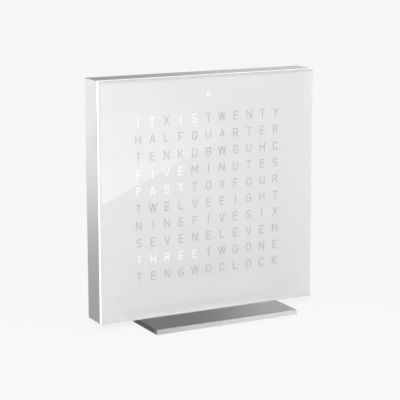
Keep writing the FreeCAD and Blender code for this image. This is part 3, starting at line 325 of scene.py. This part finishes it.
# %% [markdown]
# The print is an even coat of white ink with a trace of warmth. One plain colour would look like
# paper cut with a knife. Screen printing leaves a very fine texture and slight clouds in the
# density, both too weak to see as a pattern, so two noises give them.

# %% White print
def white_print():
    material, finish = new_material("white_print")
    clouds = finish.grain(30.0)
    weave = finish.grain(0.25)
    tone = finish.blend((0.855, 0.85, 0.85), (0.885, 0.88, 0.88), clouds)
    finish.output(
        finish.principled(
            Base_Color=finish.blend(tone, (0.84, 0.835, 0.835), weave * 0.3),
            Roughness=0.5 + weave * 0.15,
            Normal=finish.bump(weave, 0.01),
        )
    )
    return material


keep(white_print())

# %% [markdown]
# ## The case
#
# The case is extruded aluminium, bead blasted to a satin grey. Blasting leaves a fine, even
# grain without direction. Metallic at 1 makes the colour the tint of its reflections, and a
# middling roughness spreads the soft boxes into broad gradients. The specular tint is what a metal
# reflects at a grazing angle: a blasted skin shines less there than a polished one.

# %% Satin aluminium
def satin_case():
    material, finish = new_material("satin_case")
    beads = finish.grain(0.28, detail=3.0)
    clouds = finish.grain(22.0)
    finish.output(
        finish.principled(
            Base_Color=finish.blend(grey(0.35), grey(0.41), clouds * 0.6 + beads * 0.4),
            Metallic=1.0,
            Roughness=0.45 + beads * 0.08 + wear(finish),
            Specular_Tint=(*grey(0.7), 1),
            Normal=finish.bump(beads, 0.012),
        )
    )
    return material


keep(satin_case())

# %% [markdown]
# The foot is steel, brushed along its length. Brushing is noise drawn out some sixty times
# along X, once coarse and once fine, in the colour, the roughness and the bump together, so that
# the lines catch light the way scratches do. The long edges are milled and painted lighter, the
# sawn ends painted darker and paler towards their front and back corners: partly their own
# finish, partly painted light and shade for how each face meets the light. A band on the
# distance from the middle finds each.

# %% Brushed foot
# How far from their front and back corners the sawn ends are painted paler.
END_CORNER_REACH = 3.0


def brushed_foot():
    material, finish = new_material("brushed_foot")
    coarse = finish.grain(0.5, (60, 1, 1))
    fine = finish.grain(0.14, (90, 1, 1))
    lines = coarse * 0.5 + fine * 0.5
    x, y = finish.axes("XY")
    # Painted shade: the sawn ends are darker. Painted light makes them paler towards their
    # corners.
    sawn_shaded_ends = on_face(abs(x), FOOT_CORNER.x)
    milled_lit_edges = on_face(abs(y), FOOT_CORNER.y)
    corners = band(abs(y), FOOT_CORNER.y, END_CORNER_REACH, soft=4.0)
    mottle = finish.grain(2.2, (1.5, 1, 1), 3.0)
    brushed = finish.blend((0.176, 0.168, 0.176), (0.326, 0.311, 0.326), lines)
    # Painted light: the milled edges are lighter than the brushed top, partly from their own
    # finish.
    milled_lit_colour = finish.blend(grey(0.47), grey(0.64), mottle)
    dark = finish.blend(grey(0.125), grey(0.25), corners)
    with_edges = finish.blend(brushed, milled_lit_colour, milled_lit_edges)
    finish.output(
        finish.principled(
            Base_Color=finish.blend(with_edges, dark, sawn_shaded_ends),
            Metallic=1.0,
            Roughness=0.3 + lines * 0.16 + sawn_shaded_ends * 0.1 + wear(finish),
            Specular_Tint=(*grey(0.6), 1),
            Normal=finish.bump(lines, 0.02),
        )
    )
    return material


keep(brushed_foot())

# %% [markdown]
# ## Behind the cover
#
# The diffuser is milky plastic. Over the lit words it glows, brightest in the middle of each
# cell and a little dimmer towards the walls of the grid, which is how a lamp in a white box
# looks through a milky sheet. Lamps behind the sheet could light it, but their light would come
# through it in few samples and as noise, so the sheet itself gives off the glow. The small bell
# above the letters is lit as well.

# %% Milky diffuser with its lit cells
BELL_CHAMBER = 2.4
SMALL_LAMP_HEIGHT = 0.9
BELL_HEIGHT = box_mm("dot_leds")[1].z - SMALL_LAMP_HEIGHT / 2
DIMMING = 0.12
GLOW = 0.58


def diffuser():
    material, finish = new_material("diffuser")
    x, z = finish.axes("XZ")
    across = wrap(x, column_x(1), PITCH_X) / (PITCH_X / 2)
    above = wrap(z, row_z(1), PITCH_Z) / (PITCH_Z / 2)
    hot = 1 - (across * across + above * above) * DIMMING
    bell = disc(x - FACE_MIDDLE.x, z - BELL_HEIGHT, BELL_CHAMBER, CELL_EDGE)
    glow = (lit_mask(x, z) * hot + bell).clamp()
    milk = finish.grain(6.0)
    finish.output(
        finish.principled(
            Base_Color=finish.blend(grey(0.6), grey(0.66), milk),
            Roughness=0.6 + milk * 0.1,
            Normal=finish.bump(finish.grain(0.5), 0.01),
            Emission_Color=finish.blend(grey(0.0), (1.0, 0.99, 0.97), glow),
            Emission_Strength=GLOW,
        )
    )
    return material


print(f"the bell is {BELL_HEIGHT:.1f} mm above the table")
keep(diffuser())

# %% [markdown]
# Magnets are nickel plated: bright and a little warm, with darker specks. They are small and
# mostly hidden, so one noise is enough for their colour, their roughness and their bump.

# %% Nickel magnets
def nickel_magnet():
    material, finish = new_material("nickel_magnet")
    specks = finish.grain(0.4, detail=4.0)
    finish.output(
        finish.principled(
            Base_Color=finish.blend((0.5, 0.48, 0.45), (0.72, 0.7, 0.66), specks),
            Metallic=1.0,
            Roughness=0.18 + specks * 0.16,
            Normal=finish.bump(specks, 0.01),
        )
    )
    return material


keep(nickel_magnet())

# %% [markdown]
# Moulded plastics share one recipe: a base colour with faint clouds, and a fine spark-eroded
# texture in the bump and the roughness. Each could have a graph of its own, but one function
# keeps them alike where real ones are alike. The grain's size and depth set them apart, from a
# smooth holder to the coarse rear cover. A piece may also carry signs in pale ink, given by a
# function that draws their mask.

# %% Moulded plastics
INK = grey(0.4)


def moulded(name, colour, roughness, size, depth=0.02, variation=0.12, signs=None):
    """A moulded plastic: its colour, its roughness, and its texture's size and depth in mm."""
    material, finish = new_material(name)
    texture = finish.grain(size, detail=3.0)
    clouds = finish.grain(12.0)
    darker = tuple(level * (1 - variation) for level in colour)
    lighter = tuple(level * (1 + variation) for level in colour)
    skin = finish.blend(darker, lighter, clouds * 0.5 + texture * 0.5)
    finish.output(
        finish.principled(
            Base_Color=finish.blend(skin, INK, signs(finish)) if signs else skin,
            Roughness=roughness + texture * 0.12 + wear(finish),
            Normal=finish.bump(texture, depth),
        )
    )
    return material


keep(moulded("white_moulding", (0.8, 0.8, 0.78), 0.5, 0.4, 0.02, 0.03))
keep(moulded("holder_black", grey(0.025), 0.45, 0.25))
keep(moulded("sounder_black", grey(0.03), 0.5, 0.35))
keep(moulded("switch_black", grey(0.035), 0.5, 0.2))
keep(moulded("mat_rubber", grey(0.03), 0.72, 0.5, 0.04))

# %% [markdown]
# Turned and drawn metals share another: a tint, streaks along one direction, and a little wear
# in the roughness. Real streaks are thousands of scratches, far too many to model, so noise that
# is drawn out along them stands for them all.

# %% Turned and drawn metals
STREAK_DEPTH = 0.008
TURNED = (1, 0.3, 1)


def drawn_metal(name, dark, light, roughness, size, stretch=(1, 1, 1)):
    material, finish = new_material(name)
    streaks = finish.grain(size, stretch, 3.0)
    finish.output(
        finish.principled(
            Base_Color=finish.blend(dark, light, streaks),
            Metallic=1.0,
            Roughness=roughness + streaks * 0.14 + wear(finish),
            Normal=finish.bump(streaks, STREAK_DEPTH),
        )
    )
    return material


keep(drawn_metal("crystal_can", grey(0.5), grey(0.64), 0.26, 0.25, (6, 1, 1)))
keep(drawn_metal("cell_steel", grey(0.56), grey(0.7), 0.22, 0.2, (10, 1, 1)))
keep(drawn_metal("standoff_brass", (0.6, 0.42, 0.16), (0.78, 0.58, 0.26), 0.24, 0.12, TURNED))
keep(drawn_metal("screw_steel", grey(0.42), grey(0.56), 0.3, 0.15))

# %% [markdown]
# ## The circuit board
#
# Green solder mask lets the copper tracks show as slightly lighter lines. They stand out by a
# few hundredths of a millimetre, so a colour and a bump show as much as a mesh would. Tracks run
# between the rows of lamps: two wrapped bands give them, and noise breaks each line up into
# stretches.

# %% Solder mask with its tracks
TRACK_WIDTH = 0.28
LEVEL_PITCH, UPRIGHT_PITCH = 1.1, 1.3


def board_green():
    material, finish = new_material("board_green")
    x, z = finish.axes("XZ")
    from_level = wrap(z, row_z(1) + PITCH_Z / 2, LEVEL_PITCH)
    from_upright = wrap(x, column_x(1) + PITCH_X / 2, UPRIGHT_PITCH)
    level_lines = band(from_level, 0, TRACK_WIDTH / 2)
    upright_lines = band(from_upright, 0, TRACK_WIDTH / 2)
    here = finish.grain(7.0, detail=1.0)
    rather_level = ((here - 0.53) * 30).clamp()
    rather_upright = ((0.47 - here) * 30).clamp()
    tracks = level_lines * rather_level + upright_lines * rather_upright
    fibre = finish.grain(0.4)
    mask_colour = finish.blend((0.018, 0.10, 0.045), (0.03, 0.135, 0.06), fibre)
    finish.output(
        finish.principled(
            Base_Color=finish.blend(mask_colour, (0.05, 0.24, 0.10), tracks),
            Roughness=0.3 + fibre * 0.1,
            Normal=finish.bump(tracks + fibre * 0.1, 0.03),
        )
    )
    return material


keep(board_green())

# %% [markdown]
# Each lamp is a white frame with a round yellow lens of phosphor. The lens lies flush in its
# frame, so it needs a colour and no shape of its own. The letter lamps repeat at the grid's
# pitch, so one wrapped disc paints every lens.

# %% Lamps with their phosphor lenses
LENS_RADIUS = LAMP_HEIGHT * 0.4


def lamp_white():
    material, finish = new_material("lamp_white")
    x, z = finish.axes("XZ")
    lens = disc(wrap(x, column_x(1), PITCH_X), wrap(z, row_z(1), PITCH_Z), LENS_RADIUS)
    speckle = finish.grain(0.2)
    frame_colour = finish.blend(grey(0.78), grey(0.86), speckle)
    finish.output(
        finish.principled(
            Base_Color=finish.blend(frame_colour, (0.86, 0.66, 0.2), lens),
            Roughness=0.42 - lens * 0.2 + speckle * 0.08,
            Normal=finish.bump(speckle, 0.01),
        )
    )
    return material


keep(lamp_white())

# %% [markdown]
# A chip is black epoxy on tinned leads. The leads lie flat on the board and the moulding stands
# higher, so a mask on the height above the board tells the two apart, and a wrapped band cuts the
# strip into single leads.

# %% Chips on their leads
LEAD_PITCH = 1.27
LEAD_WIDTH = 0.48
LEAD_TOP = 0.32


def chip_black():
    material, finish = new_material("chip_black")
    x, y = finish.axes("XY")
    low_enough = band(y, BOARD_BACK, LEAD_TOP, 0.02)
    lead = low_enough * band(wrap(x, 0.0, LEAD_PITCH), 0, LEAD_WIDTH / 2)
    epoxy = finish.grain(0.12)
    black = finish.blend(grey(0.018), grey(0.035), epoxy)
    finish.output(
        finish.principled(
            Base_Color=finish.blend(black, grey(0.62), lead),
            Metallic=lead,
            Roughness=0.55 - lead * 0.25 + epoxy * 0.12,
            Normal=finish.bump(epoxy, 0.015),
        )
    )
    return material


keep(chip_black())

# %% [markdown]
# The capacitors' cans are bare aluminium with a black mark at one side of the top, and a black
# base below. Both follow the can's own shape, so masks on its height are enough. The mark lies
# on the side of lower X of each can, and the wrapped coordinate finds it.

# %% Capacitor cans
CAPACITOR_PITCH = 8.0
CAPACITOR_RADIUS = 2.5
BASE_OVERHANG = 0.1
BASE_HEIGHT = 0.55
MARK_SIDE = -1.0


def capacitor_can():
    material, finish = new_material("capacitor_can")
    x, y = finish.axes("XY")
    low, high = box_mm("smoothing_capacitors")
    side = wrap(x, low.x + BASE_OVERHANG + CAPACITOR_RADIUS, CAPACITOR_PITCH)
    top = band(y, high.y, 0.1, 0.02)
    mark = top * ((MARK_SIDE - side) / 0.05).clamp()
    base = band(y, low.y, BASE_HEIGHT, 0.02)
    dark = (base + mark).clamp()
    streaks = finish.grain(0.15, (1, 8, 1))
    tin = finish.blend(grey(0.6), grey(0.74), streaks)
    finish.output(
        finish.principled(
            Base_Color=finish.blend(tin, grey(0.02), dark),
            Metallic=1 - dark,
            Roughness=0.28 + streaks * 0.12 + dark * 0.2,
            Normal=finish.bump(streaks, 0.006),
        )
    )
    return material


keep(capacitor_can())

# %% [markdown]
# The power socket is a stamped steel shell with a black tongue inside, which carries a row of
# gilt contacts on both faces. Shell and tongue are one piece here, so the tongue is told apart
# by its place in the mouth, and a wrapped band lays the contacts side by side.

# %% Power socket with its contact tongue
TONGUE_WIDTH, TONGUE_THICKNESS = 6.5, 0.8
CONTACT_PITCH, CONTACT_WIDTH = 0.5, 0.28


def socket_steel():
    material, finish = new_material("socket_steel")
    x, z = finish.axes("XZ")
    middle = middle_mm("power_socket")
    within_width = band(x, middle.x, TONGUE_WIDTH / 2, 0.04)
    tongue = within_width * band(z, middle.z, TONGUE_THICKNESS / 2, 0.04)
    contact = tongue * band(wrap(x, middle.x, CONTACT_PITCH), 0, CONTACT_WIDTH / 2, 0.03)
    streaks = finish.grain(0.2, (1, 12, 1))
    steel = finish.blend(grey(0.52), grey(0.66), streaks)
    with_tongue = finish.blend(steel, grey(0.02), tongue)
    finish.output(
        finish.principled(
            Base_Color=finish.blend(with_tongue, (0.83, 0.6, 0.22), contact),
            Metallic=1 - tongue + contact,
            Roughness=0.26 + streaks * 0.14 + tongue * 0.15,
            Normal=finish.bump(streaks, 0.006),
        )
    )
    return material


keep(socket_steel())

# %% [markdown]
# ## The rear cover and its buttons
#
# The rear cover is a charcoal plate with the coarse spark texture that hides fingerprints. The
# buttons are a lighter grey, smoother, with a faint polish where fingers press. That polish
# could be painted by hand, but a soft disc in the middle of each cap wears it as a finger does.

# %% Buttons
HOUR_MIDDLE = middle_mm("hour_button")
BUTTON_PITCH = abs(middle_mm("minute_button").x - HOUR_MIDDLE.x)
print(f"the buttons are {BUTTON_PITCH:.1f} mm apart")


def button_grey():
    material, finish = new_material("button_grey")
    x, z = finish.axes("XZ")
    from_button = wrap(x, HOUR_MIDDLE.x, BUTTON_PITCH)
    rubbed = disc(from_button, z - HOUR_MIDDLE.z, 2.0, soft=1.6)
    texture = finish.grain(0.22, detail=3.0)
    finish.output(
        finish.principled(
            Base_Color=finish.blend(grey(0.16), grey(0.21), texture * 0.5 + rubbed * 0.3),
            Roughness=0.5 + texture * 0.1 - rubbed * 0.14,
            Normal=finish.bump(texture * (1 - rubbed * 0.7), 0.02),
        )
    )
    return material


keep(button_grey())

# %% [markdown]
# Nobody sees the buttons while setting the clock from the front, so on a real one each has a small
# sign below it that tells what it does: a dial with a short hand for the hours, one with a long
# hand for the minutes, a bell for the alarm and a sun for the light. They are printed, so masks
# in the rear cover's colour are the right way, and bars and discs are enough to draw them.

# %% Signs below the buttons
SIGN_DROP = 7.2
SIGN_RADIUS = 1.9
SIGN_LINE = 0.17
DIAGONAL = 0.5**0.5


def bar(x, z, middle, half):
    return band(x, middle[0], half[0]) * band(z, middle[1], half[1])


def dial_sign(length, half_width):
    """A dial with one upright hand."""

    def draw(x, z):
        rim = band((x * x + z * z) ** 0.5, SIGN_RADIUS, SIGN_LINE)
        return rim + bar(x, z, (0.0, length / 2 - SIGN_LINE), (half_width, length / 2))

    return draw


def bell_sign(x, z):
    dome = disc(x, z - 0.5, 1.15).most(bar(x, z, (0.0, -0.15), (1.15, 0.65)))
    rim = bar(x, z, (0.0, -0.8), (1.75, SIGN_LINE))
    return dome.most(rim).most(disc(x, z + 1.4, 0.38))


def sun_sign(x, z):
    rays = 0.0
    for across in (x, z, (x + z) * DIAGONAL, (x - z) * DIAGONAL):
        rays = rays + band(across, 0, SIGN_LINE)
    ring = band((x * x + z * z) ** 0.5, 1.6, 0.35)
    return disc(x, z, 0.85) + rays * ring


SIGNS = {
    "hour_button": dial_sign(1.1, 0.22),
    "minute_button": dial_sign(1.7, SIGN_LINE),
    "alarm_button": bell_sign,
    "light_button": sun_sign,
}


def button_signs(finish):
    x, y, z = finish.axes("XYZ")
    total = 0.0
    for button, sign in SIGNS.items():
        middle = middle_mm(button)
        total = total + sign(x - middle.x, z - (middle.z - SIGN_DROP))
    return (total * on_face(y, box_mm("rear_cover")[1].y)).clamp()


keep(moulded("rear_grey", grey(0.055), 0.55, 0.32, 0.05, signs=button_signs))
print(len(SIGNS), "signs on it")

# %% [markdown]
# ## Dressing the pieces
#
# Each finish has the name of its material slot in the record, so every solid piece takes the
# finish that its slot names.

# %% Give every piece its finish
for part in frame["record"]["subparts"]:
    mesh = nodes[part["node"]].data
    mesh.materials.clear()
    mesh.materials.append(FINISHES[part["material_slot"]])

# %% [markdown]
# ## The print meets the acrylic
#
# Ink on the back of a clear slab has no air between the two. Where two meshes share one plane,
# a ray can't tell which comes first, so the print gets its own copy of its mesh whose front lies
# a fiftieth of a millimetre inside the slab. Light in the acrylic then lands on ink, and the
# slab's edge lights up as it does on the real thing.

# %% Sink the print into the slab's back
SINK = 0.02


def new_object(name, data):
    """An object in the scene that shows a mesh, or holds a lamp or a camera."""
    made = bpy.data.objects.new(name, data)
    bpy.context.scene.collection.objects.link(made)
    return made


def sunk_print():
    mesh = nodes["letter_mask"].data.copy()
    for vertex in mesh.vertices:
        if vertex.co.y / MM < (PRINT_FRONT + PRINT_BACK) / 2:
            vertex.co.y -= SINK * MM
    layer = new_object("printed_layer", mesh)
    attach(layer, "cover")
    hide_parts("letter_mask")
    return layer


printed_layer = sunk_print()
print("the print has", len(printed_layer.data.polygons), "faces")

# %% [markdown]
# The slab's four edges look like white lines, because they gather the light that the print
# scatters inside the slab. Tracing that light through dozens of bounces would be slow, so a
# paper-thin white band runs round the edges instead, a hair outside the acrylic: painted light.
# It gives off a little light of its own: what the slab would have carried there. Below, where
# the foot is near, it is painted greyer as shade and gives off none.

# %% The cover's bright edges
BAND_THICKNESS = 0.04
BAND_GAP = 0.01
BEVEL = 0.25
EDGE_GLOW = 0.3


def bright_edge():
    material, finish = new_material("bright_edge")
    z = finish.axes("Z")[0]
    # Painted shade: near the foot the band is greyer and gives off no light.
    painted_shade_near_foot = band(z, box_mm("front_cover")[0].z, 0.2)
    saw_marks = finish.grain(0.3, (1, 6, 1))
    # Painted light: the white band and its glow stand for light that the slab carries to its
    # edges.
    white = finish.blend(grey(0.84), grey(0.9), saw_marks)
    finish.output(
        finish.principled(
            Base_Color=finish.blend(white, grey(0.7), painted_shade_near_foot),
            Roughness=0.45 + saw_marks * 0.15,
            Normal=finish.bump(saw_marks, 0.01),
            Emission_Color=finish.blend(grey(1.0), grey(0.0), painted_shade_near_foot),
            Emission_Strength=EDGE_GLOW,
        )
    )
    return material


def new_mesh(name, corners, faces, material):
    """A mesh of one material from its corners, in millimetres, and its faces."""
    mesh = bpy.data.meshes.new(name)
    mesh.from_pydata([Vector(corner) * MM for corner in corners], [], faces)
    mesh.materials.append(material)
    return mesh


def edge_band():
    low, high = box_mm("front_cover")
    front, back = low.y + BEVEL, high.y
    corners = []
    for out in (BAND_GAP, BAND_GAP + BAND_THICKNESS):
        left, right, bottom, top = low.x - out, high.x + out, low.z - out, high.z + out
        ring = [(left, bottom), (right, bottom), (right, top), (left, top)]
        corners += [(x, y, z) for y in (front, back) for x, z in ring]
    faces = []
    for corner in range(4):
        after = (corner + 1) % 4
        for first, second in ((4, 0), (8, 12), (0, 8), (12, 4)):
            faces.append((first + corner, first + after, second + after, second + corner))
    trim = new_object("edge_band", new_mesh("edge_band", corners, faces, bright_edge()))
    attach(trim, "cover")
    return trim


print("the edge band has", len(edge_band().data.polygons), "faces")

# %% [markdown]
# ## The camera
#
# The photograph was taken from the front left, a little above. The camera's place and angles
# were worked out from the clock's edges in the picture: it stands some 0.8 m away, and a long
# lens keeps the upright edges nearly parallel.

# %% The camera
PHOTO_SIDE = 400
CAMERA_PLACE = Vector((-377.8, -717.2, 226.4)) * MM
AZIMUTH, ELEVATION, ROLL = math.radians(-27.68), math.radians(11.21), math.radians(-0.09)
FOCAL_PIXELS = 1452.5
SENSOR = 36.0


def look(place, azimuth, elevation, roll):
    """A camera's matrix from its place and angles."""
    level = math.cos(elevation)
    back = Vector((math.sin(azimuth) * level, -math.cos(azimuth) * level, math.sin(elevation)))
    right = (-back).cross(Vector((0, 0, 1))).normalized()
    up = right.cross(-back)
    tilted_right = right * math.cos(roll) + up * math.sin(roll)
    tilted_up = up * math.cos(roll) - right * math.sin(roll)
    turn = Matrix((tilted_right, tilted_up, back)).transposed().to_4x4()
    return Matrix.Translation(place) @ turn


lens = bpy.data.cameras.new("camera")
lens.sensor_width = SENSOR
lens.lens = FOCAL_PIXELS / PHOTO_SIDE * SENSOR
lens.clip_start, lens.clip_end = 0.01, 50.0
camera = new_object("camera", lens)
camera.matrix_world = look(CAMERA_PLACE, AZIMUTH, ELEVATION, ROLL)
bpy.context.scene.camera = camera
print(f"the lens is {lens.lens:.1f} mm")

# %% [markdown]
# ## Floor and light
#
# The photograph's ground is an even, nearly white grey. The floor has that colour. Most of it is
# given straight to the rays from the camera and from mirror-like surfaces, so that it stays even,
# and the rest is lit like anything else, which keeps a soft shadow under the clock.

# %% The floor and the surroundings
BACKDROP = 0.92
AMBIENT = 0.68
FLOOR_GLOW = 0.975
FLOOR_EVEN_SHARE = 0.85
FLOOR_SIZE = 12000.0


def seen_rays(finish):
    """1 for rays from the camera, from gloss and through clear things, and 0 for light itself."""
    kinds = ["Is Camera Ray", "Is Glossy Ray", "Is Transmission Ray"]
    seen = [finish.node("LightPath", output=kind) for kind in kinds]
    return seen[0].most(seen[1]).most(seen[2])


def floor_material():
    material, finish = new_material("floor")
    lit = finish.principled(Base_Color=(*grey(0.88), 1), Roughness=0.9)
    even = finish.node("Emission", sockets={"Color": (*grey(FLOOR_GLOW), 1), "Strength": 1.0})
    share = seen_rays(finish) * FLOOR_EVEN_SHARE
    finish.output(finish.node("MixShader", sockets={0: share, 1: lit, 2: even}))
    return material


def lay_floor():
    half = FLOOR_SIZE / 2
    corners = [(-half, -half, 0), (half, -half, 0), (half, half, 0), (-half, half, 0)]
    ground = new_object("floor", new_mesh("floor", corners, [(0, 1, 2, 3)], floor_material()))
    return ground


def surroundings():
    world = bpy.data.worlds.new("studio")
    world.use_nodes = True
    bpy.context.scene.world = world
    finish = Finish(world.node_tree)
    seen = seen_rays(finish)
    level = finish.blend(grey(AMBIENT), grey(BACKDROP), seen)
    shader = finish.node("Background", sockets={"Color": level, "Strength": 1.0})
    finish.node("OutputWorld", sockets={"Surface": shader})


floor = lay_floor()
surroundings()
print("floor and surroundings are in place")

# %% [markdown]
# Soft boxes are large area lamps. Each is given by where it stands, what it looks at, its size
# and how bright its surface is, where 1 is a white wall. The key stands at the upper left, so the
# face fades gently towards its lower right, and a weaker fill stands at the right. The one at the
# left behind the clock is what the satin side mirrors: near the top the side looks into it, near
# the bottom past it, and that makes the long fade down the side. The one at the right does the
# same for the top. Two small ones make the foot brighter towards its right end, on its top and on
# its front edge, and a low narrow one lifts the bottom of the print.
#
# Light linking keeps all but the key off the floor, and the small ones off all but their own
# piece, as a studio does with flags. The two for the foot also cast no shadow, so that neither
# the case nor the floor is in their way, and so they can't be found by chance either: only rays
# sent to them may count them.

# %% Soft boxes
def linked(name, piece, state):
    """What a lamp lights: all but the piece with EXCLUDE, the piece alone with INCLUDE."""
    targets = bpy.data.collections.new(name)
    targets.objects.link(piece)
    targets.collection_objects[0].light_linking.link_state = state
    return targets


clock_alone = linked("clock_alone", floor, "EXCLUDE")
foot_alone = linked("foot_alone", nodes["foot_plate"], "INCLUDE")
print_alone = linked("print_alone", printed_layer, "INCLUDE")


def soft_box(name, place, aim, width, height, brightness, lights=None):
    """An area lamp of a surface brightness. Its place, aim and size are in millimetres."""
    data = bpy.data.lights.new(name, "AREA")
    data.shape = "RECTANGLE"
    data.size, data.size_y = width * MM, height * MM
    data.energy = brightness * data.size * data.size_y * math.pi
    lamp = new_object(name, data)
    place, aim = Vector(place), Vector(aim)
    turn = (place - aim).to_track_quat("Z", "Y").to_matrix().to_4x4()
    lamp.matrix_world = Matrix.Translation(place * MM) @ turn
    lamp.visible_camera = False
    lamp.light_linking.receiver_collection = lights
    return data


soft_box("key", (-330, -420, 460), (-30, 0, 90), 300, 300, 3.8)
soft_box("fill", (450, -500, 420), (0, 0, 80), 300, 300, 2.0, clock_alone)
soft_box("side", (-195, 235, 121), (-67, 0, 88), 220, 216, 2.5, clock_alone)
soft_box("back_right", (470, 560, 230), (67, 0, 138), 340, 300, 2.4, clock_alone)
foot_lights = [
    soft_box("foot_top", (285, 300, 110), (44, -20, 3), 160, 100, 3.3, foot_alone),
    soft_box("foot_front", (138, -199, -54), (44, -31, 2), 90, 60, 0.95, foot_alone),
]
for lamp in foot_lights:
    lamp.use_shadow = False
    lamp.cycles.use_multiple_importance_sampling = False
low_light = soft_box("low_front", (0, -350, 20), (-2, -6, 3), 70, 14, 0.75, print_alone)
low_light.spread = math.radians(7)
print("seven soft boxes")

# %% [markdown]
# One more light shows only as a reflection. A pale card stands at the right in front of the
# clock, and the clear cover mirrors it: its lower edge is the slanting line across the upper left
# of the face. The card's corners are found by following two sight lines from the camera, mirrored
# at the cover, to the card's plane. It fades to the right and upwards, and only mirroring
# surfaces see it.

# %% The card that the cover mirrors
CARD_LIGHT = 3.6
CARD_Y = -250.0
CARD_RISE = Vector((-40.0, 0.0, 150.0))
CARD_START, CARD_END = -0.3, 1.3
FADES_OVER = Vector((120.0, 0.0, 120.0))
COVER_FRONT = box_mm("front_cover")[0].y
EDGE_SEEN = [Vector((-66.0, COVER_FRONT, 70.8)), Vector((0.0, COVER_FRONT, 98.6))]


def mirrored_on_card(seen):
    """Where the card's plane meets the sight line that the cover mirrors at a seen point."""
    eye = CAMERA_PLACE / MM
    eye.y = 2 * COVER_FRONT - eye.y
    return eye + (seen - eye) * (eye.y - CARD_Y) / (eye.y - COVER_FRONT)


def card_material(start, near, slope):
    """Light that fades out: over its start, to the right, and above its slanting edge."""
    material, finish = new_material("card")
    x, z = finish.axes("XZ")
    rise = z - near.z - (x - near.x) * slope
    faint = ((x - near.x) / FADES_OVER.x).clamp() + (rise / FADES_OVER.z).clamp()
    soft_end = ((x - start.x) / (near.x - start.x)).clamp()
    fade = (1 - faint).clamp() * soft_end
    shine = finish.node("Emission", sockets={"Color": (1, 1, 1, 1), "Strength": CARD_LIGHT})
    clear = finish.node("BsdfTransparent")
    finish.output(finish.node("MixShader", sockets={0: fade, 1: clear, 2: shine}))
    return material


def stand_card():
    near, far = (mirrored_on_card(seen) for seen in EDGE_SEEN)
    edge = far - near
    start, end = near + edge * CARD_START, near + edge * CARD_END
    corners = [start, end, end + CARD_RISE, start + CARD_RISE]
    material = card_material(start, near, edge.z / edge.x)
    card = new_object("card", new_mesh("card", corners, [(0, 1, 2, 3)], material))
    for rays in ("camera", "diffuse", "shadow", "transmission"):
        setattr(card, "visible_" + rays, False)


stand_card()
print("the card stands", -CARD_Y, "mm in front")

# %% [markdown]
# ## Last steps
#
# The render keeps plain colours, with no film curve, because the finishes were chosen for that.

# %% Colour
bpy.context.scene.view_settings.view_transform = "Standard"
